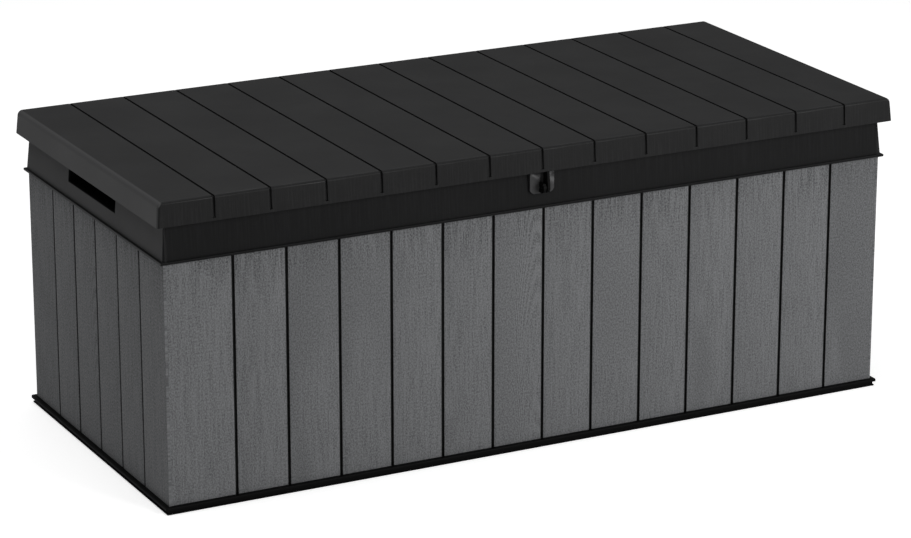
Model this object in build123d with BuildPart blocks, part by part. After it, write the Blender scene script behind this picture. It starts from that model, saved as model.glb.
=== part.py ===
from build123d import *

import os
from math import atan, atan2, cos, degrees, radians, sin, sqrt

# Deck storage box: a floor tray, four planked wall panels, a collar that caps them,
# and a planked lid on three rear hinges, held open by two telescopic struts.
#
# Millimetres. The origin is the centre of the underside of the floor tray. +Z is up,
# -Y is the front, and +X is to the right as seen from the front.

# Overall sizes
wall_length = 1418.0  # outside of the left wall to outside of the right wall
wall_depth = 623.0  # outside of the front wall to outside of the rear wall
wall_height = 432.0  # the planked height that shows between tray and collar
collar_height = 69.0  # the collar's height that shows below the lid
skirt_height = 43.0  # the lid's height, from the skirt's lower edge to the top

# Floor tray
tray_height = 14.0
floor_skin = 5.0
tray_web_overhang = 3.5
tray_foot_overhang = 5.5
tray_bead_overhang = 8.5
tray_foot_height = 3.0
tray_rim = 9.0  # width of the rim that stands on the ground
rib_thickness = 4.0
tray_ribs_across = 7
tray_ribs_along = 3
tray_rib_end_inset = 110.0  # from the tray's end to the outermost rib across
tray_rib_side_inset = 120.0  # from the tray's side to the outermost rib along
tray_corner_round = 3.0
tray_bead_chamfer = 1.2
peg_size = (24.0, 6.0, 8.0)  # locating pegs under the walls: along, across, down
peg_count_long = 6
peg_count_short = 3
peg_end_inset = 80.0  # from the wall's end to the outermost peg
peg_back_step = 1.0  # from the wall's inner face to the pegs
fit_gap = 0.3  # clearance round a piece that drops into another
cut_margin = 1.0  # how far a cut runs past what it cuts

# Wall panels
panel_depth = 15.0
panel_skin = 5.0
groove_width = 5.2
groove_depth = 4.0
front_planks = 14
front_end_planks = (126.7, 103.3)  # widths of the leftmost and rightmost planks
side_planks = 6
side_end_planks = (117.2, 107.4)  # widths of the rearmost and foremost planks
backing_width = 14.0  # the rib behind each groove
panel_rail = 12.0
panel_end_rail = 44.0  # wide enough for a corner angle to bear on
tongue_height = 50.0  # the thin upper edge that the collar caps
tongue_step = 8.0
corner_lip = 4.5  # side wall thickness that covers the end of the front wall
seam_line = 1.2
seam_inset = 4.2

# Corner angles inside the box
angle_leg = 26.0
angle_skin = 2.5
angle_start = 30.0
angle_end_gap = 30.0

# Collar
collar_skin = 3.0
collar_top_rise = 14.0  # how far it rises into the lid
collar_foot_out = 2.5  # how far its face stands out from the wall, at the bottom
collar_head_in = 4.0  # how far its face leans in behind the wall's face, at the top
collar_lip_out = 7.0
collar_lip_height = 4.5
collar_inner_drop = 49.0
collar_screw_drop = 8.0  # below the top of the wall's tongue
collar_screw_end = 109.0  # from the wall's end to the outermost collar screw
collar_screws_long = 6
collar_joint = 6.5  # the width of side collar that shows beside the front collar
collar_cap_step = 0.5  # the collar's top edge behind its face
piece_gap = 0.3

# Hand grips in the side collars
grip_length = 216.0
grip_height = 30.0
grip_offset = 6.0  # towards the rear from the middle of the side
grip_floor = 32.0  # above the collar's lower edge
grip_reach = 34.0
cup_wall = 2.5

# Lid
lid_side_overhang = 16.0  # beyond the wall, at the skirt's lower edge
lid_draft = 3.5
lid_skin = 5.0
lid_groove_width = 5.0
lid_groove_depth = 3.2
lid_planks = 14
lid_end_round = 10.0
lid_edge_round = 5.0
skirt_plain_band = 5.0  # ungrooved height at the skirt's lower edge
liner_skin = 3.0
liner_gap = 1.0  # between the liner and the top of the collar
liner_inset = 6.0
liner_hinge_gap = 11.5  # from the hinge axis to the liner's rear edge
lid_rib_drop = 3.0
lid_rib_gap = 5.0  # between the ribs and the hinge leaves
bar_clearance = 0.4
bar_width = 20.0
bar_end_gap = 40.0
bar_wall = 1.5
bar_inset = 175.0  # bar centre from the lid's front or rear edge
bar_round = 3.0
post_radius = 6.0
post_rows = 3
posts_per_row = 4
post_side_inset = 125.0
post_end_inset = 79.0

# Screws
screw_radius = 2.0
screw_head_radius = 4.2
screw_head_height = 2.4
screw_bite = 11.5  # thread length in the piece behind
short_bite = 3.4
pilot_gap = 0.02

# Hinges
hinge_count = 3
hinge_end_inset = 209.0  # from the wall's end to the outer hinges
knuckle_to_collar = 2.14
knuckle_to_skirt = 1.5
hinge_rise = 3.0  # axis above the skirt's lower edge
knuckle_radius = 6.0
knuckle_width = 12.0
middle_knuckle_width = 24.0
knuckle_gap = 0.3
hinge_pin_radius = 2.5
running_gap = 0.05
leaf_width = 56.0
fixed_leaf_drop = 38.0
fixed_leaf_skin = 2.5
fixed_leaf_screw_rise = 8.0
lid_leaf_skin = 3.0
lid_leaf_reach = 40.0
leaf_screw_spread = 36.0

# Struts
strut_arm = 300.0  # hinge axis to either strut pivot
strut_closed_angle = 70.0  # between those two arms when the lid is shut
lid_pivot_drop = 20.0  # lid pivot below the hinge axis when the lid is shut
strut_inset = 54.0  # strut centre line from the wall's outer face
tube_radius = 11.0
tube_bore = 8.5
tube_start = 12.0
tube_end = 318.0
tube_floor = 10.0
cap_length = 12.0
cap_radius = 12.5
cap_spigot = 8.0
rod_radius = 5.0
piston_length = 12.0
piston_gap = 0.2
piston_start = 26.0
eye_radius = 9.0
eye_width = 12.0
pivot_radius = 4.0
bracket_skin = 3.0
wall_bracket_size = (60.0, 70.0)
lid_bracket_size = (40.0, 60.0)
bracket_screw_inset = 9.0
boss_radius = 7.5
lid_tab_width = 22.0
pivot_side_gap = 0.5
clip_radius = 6.5
clip_thickness = 2.0
pivot_tail = 1.5
bracket_round = 6.0
pad_margin = 4.0  # the wall's solid pad round the bracket

# Padlock fitting
plate_width = 48.0
plate_height = 43.0
plate_round = 10.0
plate_front = 4.0  # its front face beyond the wall's face
lug_radius = 9.0
lug_hole = 4.5
lug_width = 5.0
lug_spacing = 8.0  # between the middles of the two lugs
lug_gap = 0.7  # between the lid's lug and the plate
lug_level = 30.0  # hole centre below the skirt's lower edge
plate_offset = 6.0  # to the right of the middle
plate_tuck = 1.0  # how far the plate runs up under the skirt
lug_foot = (44.0, 28.0, 3.0)  # the lid lug's foot: along, up, thick
plate_peg_radius = 2.0
plate_peg_spread = 30.0
plate_peg_tail = 1.0  # how far a peg shows inside the collar's skin

# Derived levels and half sizes
half_length = wall_length / 2
half_depth = wall_depth / 2
collar_bottom = tray_height + wall_height
skirt_bottom = collar_bottom + collar_height
lid_top_level = skirt_bottom + skirt_height
collar_top = skirt_bottom + collar_top_rise
liner_bottom = collar_top + liner_gap
liner_top = liner_bottom + liner_skin
lid_ceiling = lid_top_level - lid_skin
collar_taper = degrees(
    atan2(collar_foot_out + collar_head_in, collar_top - collar_bottom)
)
collar_lean = (collar_foot_out + collar_head_in) / (collar_top - collar_bottom)
hinge_z = skirt_bottom + hinge_rise
hinge_face = collar_foot_out - (hinge_z - collar_bottom) * collar_lean
hinge_out = hinge_face + knuckle_to_collar + knuckle_radius
lid_front_overhang = hinge_out + knuckle_radius + knuckle_to_skirt + lid_skin
lid_half_x = half_length + lid_side_overhang
lid_half_y = half_depth + lid_front_overhang
lid_taper = degrees(atan(lid_draft / skirt_height))
hinge_y = half_depth + hinge_out
grip_level = collar_bottom + grip_floor
inner_x = half_length - panel_depth
inner_y = half_depth - panel_depth

# Strut pivots with the lid shut. Both pivots are strut_arm from the hinge axis, so the
# strut turns by exactly half of the lid's angle and stays straight as it lengthens.
lid_pivot_y = hinge_y - sqrt(strut_arm**2 - lid_pivot_drop**2)
lid_pivot_z = hinge_z - lid_pivot_drop
low_angle = radians(strut_closed_angle) + atan2(lid_pivot_drop, hinge_y - lid_pivot_y)
wall_pivot_y = hinge_y - strut_arm * cos(low_angle)
wall_pivot_z = hinge_z - strut_arm * sin(low_angle)
strut_length = 2 * strut_arm * sin(radians(strut_closed_angle / 2))
strut_x = half_length - strut_inset

standing = (Align.CENTER, Align.CENTER, Align.MIN)
hanging = (Align.CENTER, Align.CENTER, Align.MAX)
low_edge = (Align.CENTER, Align.MIN)

os.makedirs("parts", exist_ok=True)


def save(piece, name):
    """Labels a finished piece and writes its STEP file."""
    piece.part.label = name
    export_step(piece.part, f"parts/{name}.step")


def seats(points, out):
    """Screw seats: planes at the points, facing the way the heads stand out."""
    return [Plane(origin=point, z_dir=out) for point in points]


def screw_set(places, shaft):
    """Pan-head screws on the given seats, with the shaft running inward."""
    with BuildPart() as screws:
        with Locations(*places):
            Cylinder(screw_head_radius, screw_head_height, align=standing)
            Cylinder(screw_radius, shaft, align=hanging)
    return screws


def drill(places, depth):
    """Pilot holes along the screws, in the piece being built."""
    with Locations(*places):
        Hole(screw_radius + pilot_gap, depth)


def collar_out(level):
    """How far the collar's face stands out from the wall's face at a height."""
    return collar_foot_out - (level - collar_bottom) * collar_lean


def spread(count, span):
    """Evenly spaced positions, centred on zero, from -span/2 to span/2."""
    return [span * (i / (count - 1) - 0.5) for i in range(count)]


def groove_places(length, planks, end_planks):
    """Groove centres along a wall, from its middle, with end planks of stated widths."""
    first, last = end_planks
    pitch = (length - first - last) / (planks - 2)
    return [first - length / 2 + pitch * i for i in range(planks - 1)]


def wall_plane(side):
    """The outer face of a wall: local X to the viewer's right, local Y up, local Z out."""
    places = {
        "front": ((0, -half_depth, tray_height), (1, 0, 0), (0, -1, 0)),
        "rear": ((0, half_depth, tray_height), (-1, 0, 0), (0, 1, 0)),
        "left": ((-half_length, 0, tray_height), (0, -1, 0), (-1, 0, 0)),
        "right": ((half_length, 0, tray_height), (0, 1, 0), (1, 0, 0)),
    }
    origin, x_dir, z_dir = places[side]
    return Plane(origin=origin, x_dir=x_dir, z_dir=z_dir)


# The long walls fit between the lips of the side walls.
long_wall = wall_length - 2 * (corner_lip + piece_gap)
pegs_long = spread(peg_count_long, long_wall - 2 * peg_end_inset)
pegs_short = spread(peg_count_short, wall_depth - 2 * peg_end_inset)
peg_inset = panel_depth - peg_size[1] / 2 - peg_back_step

# Screw seats that several pieces share
angle_height = wall_height - angle_start - angle_end_gap
angle_levels = [
    tray_height + angle_start + rise
    for rise in (angle_leg, angle_height / 2, angle_height - angle_leg)
]
angle_seats = {}
for x_sign in (-1, 1):
    for y_sign in (-1, 1):
        face_x = x_sign * (inner_x - angle_skin)
        face_y = y_sign * (inner_y - angle_skin)
        mid_x = x_sign * (inner_x - angle_leg / 2)
        mid_y = y_sign * (inner_y - angle_leg / 2)
        angle_seats[x_sign, y_sign] = {
            "long": seats([(mid_x, face_y, z) for z in angle_levels], (0, -y_sign, 0)),
            "side": seats([(face_x, mid_y, z) for z in angle_levels], (-x_sign, 0, 0)),
        }
angle_shaft = angle_skin + screw_bite

collar_inner_out = panel_depth + piece_gap
collar_inner_in = collar_inner_out + collar_skin
collar_screw_level = collar_bottom + tongue_height - collar_screw_drop
collar_shaft = collar_skin + piece_gap + panel_depth - tongue_step - 1.0
collar_seats = {}
for y_sign in (-1, 1):
    points = [
        (x, y_sign * (half_depth - collar_inner_in), collar_screw_level)
        for x in spread(collar_screws_long, wall_length - 2 * collar_screw_end)
    ]
    collar_seats["long", y_sign] = seats(points, (0, -y_sign, 0))
for x_sign in (-1, 1):
    points = [
        (x_sign * (half_length - collar_inner_in), y, collar_screw_level)
        for y in spread(2, wall_depth - 2 * collar_screw_end)
    ]
    collar_seats["side", x_sign] = seats(points, (-x_sign, 0, 0))

hinge_places = spread(hinge_count, wall_length - 2 * hinge_end_inset)
leaf_screw_level = hinge_z - fixed_leaf_drop + fixed_leaf_screw_rise
leaf_out = (0, cos(radians(collar_taper)), sin(radians(collar_taper)))
leaf_seat_y = (
    half_depth + collar_out(leaf_screw_level) + fixed_leaf_skin / cos(radians(collar_taper))
)
fixed_leaf_seats = seats(
    [
        (x + side, leaf_seat_y, leaf_screw_level)
        for x in hinge_places
        for side in spread(2, leaf_screw_spread)
    ],
    leaf_out,
)
fixed_leaf_shaft = screw_bite + fixed_leaf_skin

bracket_x = inner_x - bracket_skin
bracket_seats = {}
for x_sign in (-1, 1):
    points = [
        (x_sign * bracket_x, wall_pivot_y + across, wall_pivot_z + up)
        for across in spread(2, wall_bracket_size[0] - 2 * bracket_screw_inset)
        for up in spread(2, wall_bracket_size[1] - 2 * bracket_screw_inset)
    ]
    bracket_seats[x_sign] = seats(points, (-x_sign, 0, 0))
bracket_shaft = bracket_skin + screw_bite


# Floor tray
def peg_spots():
    """Centres of all the pegs in plan, with each peg's size along X and Y."""
    along, across, _ = peg_size
    spots = []
    for sign in (-1, 1):
        spots += [(x, sign * (half_depth - peg_inset), along, across) for x in pegs_long]
        spots += [(sign * (half_length - peg_inset), y, across, along) for y in pegs_short]
    return spots


web_length = wall_length + 2 * tray_web_overhang
web_depth = wall_depth + 2 * tray_web_overhang
ribs_across = spread(tray_ribs_across, web_length - 2 * tray_rib_end_inset)
ribs_along = spread(tray_ribs_along, web_depth - 2 * tray_rib_side_inset)
with BuildPart() as floor_tray:
    with BuildSketch(Plane.XY):
        Rectangle(web_length, web_depth)
        Rectangle(web_length - 2 * tray_rim, web_depth - 2 * tray_rim, mode=Mode.SUBTRACT)
        with Locations(*[(x, 0) for x in ribs_across]):
            Rectangle(rib_thickness, web_depth - tray_rim)
        with Locations(*[(0, y) for y in ribs_along]):
            Rectangle(web_length - tray_rim, rib_thickness)
    extrude(amount=tray_height - floor_skin)
    with BuildSketch(Plane.XY):
        Rectangle(
            wall_length + 2 * tray_foot_overhang, wall_depth + 2 * tray_foot_overhang
        )
        Rectangle(web_length - 2 * tray_rim, web_depth - 2 * tray_rim, mode=Mode.SUBTRACT)
    extrude(amount=tray_foot_height)
    with BuildSketch(Plane.XY.offset(tray_height - floor_skin)):
        RectangleRounded(
            wall_length + 2 * tray_bead_overhang,
            wall_depth + 2 * tray_bead_overhang,
            tray_corner_round,
        )
    extrude(amount=floor_skin)
    for x, y, size_x, size_y in peg_spots():
        with BuildSketch(Plane.XY):
            with Locations((x, y)):
                Rectangle(size_x + 2 * fit_gap, size_y + 2 * fit_gap)
        extrude(amount=tray_height, mode=Mode.SUBTRACT)
    bead = floor_tray.faces().sort_by(Axis.Z)[-1].outer_wire().edges()
    chamfer(bead, tray_bead_chamfer)
save(floor_tray, "floor_tray")


# Walls
def build_wall(side, length, grooves, pegs, drills, end_rebate=0, notch=None, pad=None):
    """A planked panel with a rail all round its back and a rib behind each groove."""
    face = wall_plane(side)
    inner_length = length - 2 * end_rebate
    tongue_length = inner_length if end_rebate else length - 2 * (tongue_step - corner_lip)
    with BuildPart() as wall:
        with BuildSketch(face):
            Rectangle(length, wall_height, align=low_edge)
        extrude(amount=-(corner_lip if end_rebate else panel_skin))
        with BuildSketch(face):
            Rectangle(inner_length, wall_height, align=low_edge)
        extrude(amount=-panel_skin)
        with BuildSketch(face):
            Rectangle(inner_length, wall_height, align=low_edge)
            with Locations((0, panel_rail)):
                Rectangle(
                    inner_length - 2 * panel_end_rail,
                    wall_height - 2 * panel_rail,
                    align=low_edge,
                    mode=Mode.SUBTRACT,
                )
            with Locations(*[(x, 0) for x in grooves]):
                Rectangle(backing_width, wall_height, align=low_edge)
            if pad:
                with Locations(pad[:2]):
                    Rectangle(*pad[2:])
        extrude(amount=-panel_depth)
        with BuildSketch(face.offset(-tongue_step)):
            with Locations((0, wall_height)):
                Rectangle(tongue_length, tongue_height, align=low_edge)
            if notch:
                with Locations((notch[0], wall_height + notch[1])):
                    Rectangle(notch[2], tongue_height, align=low_edge, mode=Mode.SUBTRACT)
        extrude(amount=-(panel_depth - tongue_step))
        with BuildSketch(face):
            with Locations(*[(x, 0) for x in grooves]):
                Rectangle(groove_width, wall_height, align=low_edge)
        extrude(amount=-groove_depth, mode=Mode.SUBTRACT)
        if not end_rebate:
            with BuildSketch(face):
                with Locations(*[(x, 0) for x in spread(2, length - 2 * seam_inset)]):
                    Rectangle(seam_line, wall_height, align=low_edge)
            extrude(amount=-seam_line, mode=Mode.SUBTRACT)
        with BuildSketch(face.offset(-(peg_inset - peg_size[1] / 2))):
            with Locations(*[(x, -peg_size[2]) for x in pegs]):
                Rectangle(peg_size[0], peg_size[2], align=low_edge)
        extrude(amount=-peg_size[1])
        for places, depth in drills:
            drill(places, depth)
    return wall


front_grooves = groove_places(wall_length, front_planks, front_end_planks)
rear_grooves = [-x for x in front_grooves]
left_grooves = groove_places(wall_depth, side_planks, side_end_planks)
right_grooves = [-x for x in left_grooves]
side_rebate = panel_depth + piece_gap
notch_depth = grip_floor - cup_wall - 2 * piece_gap
notch_length = grip_length + 2 * (cup_wall + 2 * piece_gap)

corners = [(x_sign, y_sign) for x_sign in (-1, 1) for y_sign in (-1, 1)]
pad_size = [side + 2 * pad_margin for side in wall_bracket_size]
pad_level = wall_pivot_z - tray_height


def long_drills(y_sign):
    """Everything screwed into the front or rear wall."""
    found = [(angle_seats[x_sign, y_sign]["long"], angle_shaft) for x_sign in (-1, 1)]
    return found + [(collar_seats["long", y_sign], collar_shaft)]


def side_drills(x_sign):
    """Everything screwed into a side wall."""
    found = [(angle_seats[x_sign, y_sign]["side"], angle_shaft) for y_sign in (-1, 1)]
    found.append((collar_seats["side", x_sign], collar_shaft))
    return found + [(bracket_seats[x_sign], bracket_shaft)]


front_wall = build_wall("front", long_wall, front_grooves, pegs_long, long_drills(-1))
save(front_wall, "front_wall")
rear_drills = long_drills(1) + [(fixed_leaf_seats, fixed_leaf_shaft)]
rear_wall = build_wall("rear", long_wall, rear_grooves, pegs_long, rear_drills)
save(rear_wall, "rear_wall")
for x_sign, side, grooves in ((-1, "left", left_grooves), (1, "right", right_grooves)):
    side_wall = build_wall(
        side,
        wall_depth,
        grooves,
        pegs_short,
        side_drills(x_sign),
        side_rebate,
        (x_sign * grip_offset, notch_depth, notch_length),
        (x_sign * wall_pivot_y, pad_level, *pad_size),
    )
    save(side_wall, f"{side}_wall")


# Angle strips that tie the walls together at the inside corners
for x_sign, x_word in ((-1, "left"), (1, "right")):
    for y_sign, y_word in ((-1, "front"), (1, "rear")):
        corner_x = x_sign * inner_x
        corner_y = y_sign * inner_y
        with BuildPart() as corner_angle:
            with BuildSketch(Plane.XY.offset(tray_height + angle_start)):
                leg_y = corner_y - y_sign * angle_skin / 2
                with Locations((corner_x - x_sign * angle_leg / 2, leg_y)):
                    Rectangle(angle_leg, angle_skin)
                leg_x = corner_x - x_sign * angle_skin / 2
                with Locations((leg_x, corner_y - y_sign * angle_leg / 2)):
                    Rectangle(angle_skin, angle_leg)
            extrude(amount=angle_height)
            for places in angle_seats[x_sign, y_sign].values():
                drill(places, angle_skin)
        save(corner_angle, f"corner_angle_{y_word}_{x_word}")
corner_places = [
    place for corner in corners for group in angle_seats[corner].values() for place in group
]
save(screw_set(corner_places, angle_shaft), "corner_screws")


# Collar: one ring in section, parted into four rails
def collar_outline(inset, grow=0.0):
    """A solid frustum inside the collar's outer face, set in by a skin thickness."""
    with BuildPart() as body:
        with BuildSketch(Plane.XY.offset(collar_bottom)):
            Rectangle(
                wall_length + 2 * (collar_foot_out - inset),
                wall_depth + 2 * (collar_foot_out - inset),
            )
        extrude(amount=collar_top - collar_bottom + grow, taper=collar_taper)
    return body.part


def ring(level, height, outer_inset, inner_inset):
    """A rectangular ring between two insets from the walls' outer faces."""
    with BuildPart() as body:
        with BuildSketch(Plane.XY.offset(level)):
            Rectangle(wall_length - 2 * outer_inset, wall_depth - 2 * outer_inset)
            Rectangle(
                wall_length - 2 * inner_inset,
                wall_depth - 2 * inner_inset,
                mode=Mode.SUBTRACT,
            )
        extrude(amount=height)
    return body.part


def region_boxes(regions):
    """Boxes in plan, as tall as the collar, that part it into rails."""
    with BuildPart() as boxes:
        for low_x, high_x, low_y, high_y in regions:
            with BuildSketch(Plane.XY.offset(collar_bottom - cut_margin)):
                with Locations(((low_x + high_x) / 2, (low_y + high_y) / 2)):
                    Rectangle(high_x - low_x, high_y - low_y)
            extrude(amount=collar_top - collar_bottom + 2 * cut_margin)
    return boxes.part


inner_skin_foot = collar_top - collar_inner_drop
collar_face = collar_outline(0)
collar_core = collar_outline(collar_skin, cut_margin)
collar_lip = ring(
    collar_bottom, collar_lip_height, -collar_lip_out, tongue_step - piece_gap
)
collar_cap = ring(
    collar_top - collar_skin,
    collar_skin,
    collar_head_in + collar_cap_step,
    collar_inner_in,
)
collar_inner_skin = ring(
    inner_skin_foot, collar_inner_drop, collar_inner_out, collar_inner_in
)


def build_collar(regions, drills, x_sign=0):
    """The part of the collar in the given boxes, with the hand grip's opening if any."""
    keep = region_boxes(regions)
    with BuildPart() as collar:
        add(collar_face)
        add(collar_core, mode=Mode.SUBTRACT)
        add(collar_lip)
        add(collar_cap)
        add(collar_inner_skin)
        if x_sign:
            with BuildSketch(Plane.XY.offset(grip_level)):
                with Locations((x_sign * half_length, grip_offset)):
                    Rectangle(2 * (grip_reach + collar_skin), grip_length)
            extrude(amount=grip_height, mode=Mode.SUBTRACT)
            with BuildSketch(Plane.XY.offset(inner_skin_foot - cut_margin)):
                skin_x = half_length - (collar_inner_out + collar_inner_in) / 2
                with Locations((x_sign * skin_x, grip_offset)):
                    Rectangle(collar_skin + 2 * cut_margin, notch_length)
            cup_top = grip_level + grip_height + cup_wall + piece_gap
            extrude(amount=cup_top - inner_skin_foot + cut_margin, mode=Mode.SUBTRACT)
        for places, depth in drills:
            drill(places, depth)
        add(keep, mode=Mode.INTERSECT)
    return collar


far_x = half_length + collar_lip_out + cut_margin
far_y = half_depth + collar_lip_out + cut_margin
joint_x = half_length - collar_joint
rail_y = half_depth - collar_inner_in - cut_margin
plate_level = skirt_bottom + plate_tuck - plate_height / 2
plate_pegs = seats(
    [
        (plate_offset + side, -half_depth - plate_front, plate_level)
        for side in spread(2, plate_peg_spread)
    ],
    (0, -1, 0),
)
peg_reach = plate_front - collar_out(plate_level) + collar_skin + plate_peg_tail
rail_ends = (-joint_x + piece_gap / 2, joint_x - piece_gap / 2)
front_drills = [(collar_seats["long", -1], collar_skin + piece_gap)]
front_rail = build_collar([(*rail_ends, -far_y, -rail_y)], front_drills)
with BuildPart() as front_collar:
    add(front_rail.part)
    with Locations(*plate_pegs):
        Hole(plate_peg_radius + fit_gap / 2, peg_reach)
save(front_collar, "front_collar")
rear_collar_drills = [
    (collar_seats["long", 1], collar_skin + piece_gap),
    (fixed_leaf_seats, fixed_leaf_shaft),
]
rear_collar = build_collar([(*rail_ends, rail_y, far_y)], rear_collar_drills)
save(rear_collar, "rear_collar")
side_reach = rail_y - piece_gap
for x_sign, name in ((-1, "left_collar"), (1, "right_collar")):
    outer = sorted((x_sign * (joint_x + piece_gap / 2), x_sign * far_x))
    inner = sorted((x_sign * half_length / 2, x_sign * far_x))
    regions = [(*outer, -far_y, far_y), (*inner, -side_reach, side_reach)]
    drills = [(collar_seats["side", x_sign], collar_skin + piece_gap)]
    side_collar = build_collar(regions, drills, x_sign)
    save(side_collar, name)
collar_places = [place for group in collar_seats.values() for place in group]
save(screw_set(collar_places, collar_shaft), "collar_screws")


# Hand grips: closed cups behind the openings in the side collars
for x_sign, name in ((-1, "left_grip"), (1, "right_grip")):
    cup_back = half_length - grip_reach
    with BuildPart() as grip:
        with BuildSketch(Plane.YZ.offset(x_sign * cup_back)):
            with Locations((grip_offset, grip_level - cup_wall)):
                Rectangle(
                    grip_length + 2 * cup_wall, grip_height + 2 * cup_wall, align=low_edge
                )
        extrude(amount=x_sign * grip_reach)
        with BuildSketch(Plane.YZ.offset(x_sign * (cup_back + cup_wall))):
            with Locations((grip_offset, grip_level)):
                Rectangle(grip_length, grip_height, align=low_edge)
        extrude(amount=x_sign * grip_reach, mode=Mode.SUBTRACT)
        add(collar_core, mode=Mode.INTERSECT)
    save(grip, name)


# Padlock fitting: a plate on the front collar with one lug, and the lid's lug beside it
lug_y = -(half_depth + plate_front + lug_gap + lug_radius)
lug_z = skirt_bottom - lug_level
lug_places = (plate_offset - lug_spacing / 2, plate_offset + lug_spacing / 2)


def lug_eye(x_middle, back_y, top_z):
    """A flat round eye with a neck that runs back to back_y and up to top_z."""
    with BuildPart() as eye:
        with BuildSketch(Plane.YZ.offset(x_middle - lug_width / 2)):
            with Locations((lug_y, lug_z)):
                Circle(lug_radius)
            with BuildLine():
                Polyline(
                    (lug_y, lug_z - lug_radius),
                    (back_y, lug_z - lug_radius),
                    (back_y, top_z),
                    (lug_y - lug_radius * 0.6, top_z),
                    (lug_y - lug_radius, lug_z),
                    close=True,
                )
            make_face()
            with Locations((lug_y, lug_z)):
                Circle(lug_hole, mode=Mode.SUBTRACT)
        extrude(amount=lug_width)
    return eye.part


plate_y = half_depth + plate_front
plate_lug = lug_eye(lug_places[0], -plate_y, lug_z + lug_radius)
with BuildPart() as lock_plate:
    with BuildSketch(Plane.XZ.offset(plate_y)) as plate_profile:
        with Locations((plate_offset, plate_level)):
            Rectangle(plate_width, plate_height)
        lower = plate_profile.vertices().group_by(Axis.Z)[0]
        fillet(lower, plate_round)
    extrude(amount=-plate_front - collar_head_in)
    add(collar_face, mode=Mode.SUBTRACT)
    add(plate_lug)
    with BuildSketch(Plane.XZ.offset(plate_y - cut_margin)):
        peg_spread = spread(2, plate_peg_spread)
        with Locations(*[(plate_offset + side, plate_level) for side in peg_spread]):
            Circle(plate_peg_radius)
    extrude(amount=cut_margin - peg_reach)
save(lock_plate, "lock_plate")


# Lid
lid_grooves = spread(lid_planks - 1, 2 * lid_half_x * (lid_planks - 2) / lid_planks)
post_x = spread(posts_per_row, 2 * (lid_half_x - post_side_inset))
post_y = spread(post_rows, 2 * (lid_half_y - post_end_inset))
post_spots = [(x, y) for x in post_x for y in post_y]
liner_seats = seats([(x, y, liner_bottom) for x, y in post_spots], (0, 0, -1))
liner_shaft = liner_skin + screw_bite
tab_x = strut_x + eye_width / 2 + pivot_side_gap * 2
lid_bracket_x = tab_x + bracket_skin / 2
lid_bracket_level = liner_bottom - bracket_skin
lid_bracket_seats = {}
for x_sign in (-1, 1):
    points = [
        (x_sign * lid_bracket_x + across, lid_pivot_y + along, lid_bracket_level)
        for across in spread(2, lid_bracket_size[0] - 2 * bracket_screw_inset)
        for along in spread(2, lid_bracket_size[1] - 2 * bracket_screw_inset)
    ]
    lid_bracket_seats[x_sign] = seats(points, (0, 0, -1))
lid_bracket_shaft = bracket_skin + liner_skin + screw_bite
lid_leaf_level = lid_ceiling - lid_leaf_skin
lid_leaf_seats = seats(
    [
        (x + side, hinge_y - lid_leaf_reach + bracket_screw_inset, lid_leaf_level)
        for x in hinge_places
        for side in spread(2, leaf_screw_spread)
    ],
    (0, 0, -1),
)
lid_leaf_shaft = lid_leaf_skin + short_bite
foot_along, foot_up, foot_skin = lug_foot
foot_seat_y = -(lid_half_y - lid_skin - lid_draft - foot_skin)
lug_seats = seats(
    [
        (plate_offset + side, foot_seat_y, skirt_bottom + foot_up * 0.6)
        for side in spread(2, foot_along - 2 * bracket_screw_inset + 2)
    ],
    (0, 1, 0),
)
lug_shaft = foot_skin + short_bite + lid_draft / 2


def lid_block(inset, height):
    """The lid's drafted outline, set in all round and filled up to a height."""
    with BuildPart() as block:
        with BuildSketch(Plane.XY.offset(skirt_bottom)):
            Rectangle(2 * (lid_half_x - inset), 2 * (lid_half_y - inset))
        extrude(amount=height, taper=lid_taper)
    return block.part


lid_outline = lid_block(0, skirt_height)
lid_cavity = lid_block(lid_skin, skirt_height - lid_skin)
with BuildPart() as lid_shell:
    add(lid_outline)
    top_face = lid_shell.faces().sort_by(Axis.Z)[-1]
    fillet(top_face.edges().filter_by(Axis.Y), lid_end_round)
    top_face = lid_shell.faces().sort_by(Axis.Z)[-1]
    fillet(top_face.edges().filter_by(Axis.X), lid_edge_round)
    add(lid_cavity, mode=Mode.SUBTRACT)
    with BuildSketch(Plane.XY.offset(lid_ceiling)):
        rib_length = 2 * (hinge_y - lid_leaf_reach - lid_rib_gap)
        with Locations(*[(x, 0) for x in lid_grooves]):
            Rectangle(backing_width, rib_length)
    extrude(amount=-lid_rib_drop)
    with BuildSketch(Plane.XY.offset(lid_ceiling)):
        with Locations(*post_spots):
            Circle(post_radius)
        with Locations(*[(x_sign * lid_bracket_x, lid_pivot_y) for x_sign in (-1, 1)]):
            Rectangle(*lid_bracket_size)
    extrude(amount=liner_top - lid_ceiling)
    for x in lid_grooves:
        with BuildSketch(Plane.YZ.offset(x)):
            with Locations((0, skirt_bottom + skirt_plain_band)):
                Rectangle(2 * (lid_half_y + cut_margin), skirt_height, align=low_edge)
            foot_y = lid_half_y - lid_groove_depth
            head_y = foot_y - lid_draft
            head_z = lid_top_level - lid_groove_depth
            with BuildLine():
                Polyline(
                    (-foot_y, skirt_bottom),
                    (foot_y, skirt_bottom),
                    (head_y, head_z),
                    (-head_y, head_z),
                    close=True,
                )
            make_face(mode=Mode.SUBTRACT)
        extrude(amount=lid_groove_width / 2, both=True, mode=Mode.SUBTRACT)
    drill(liner_seats, liner_shaft)
    drill(lid_leaf_seats, lid_leaf_shaft)
    drill(lug_seats, lug_shaft)
    for places in lid_bracket_seats.values():
        drill(places, lid_bracket_shaft)
save(lid_shell, "lid_shell")

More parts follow.
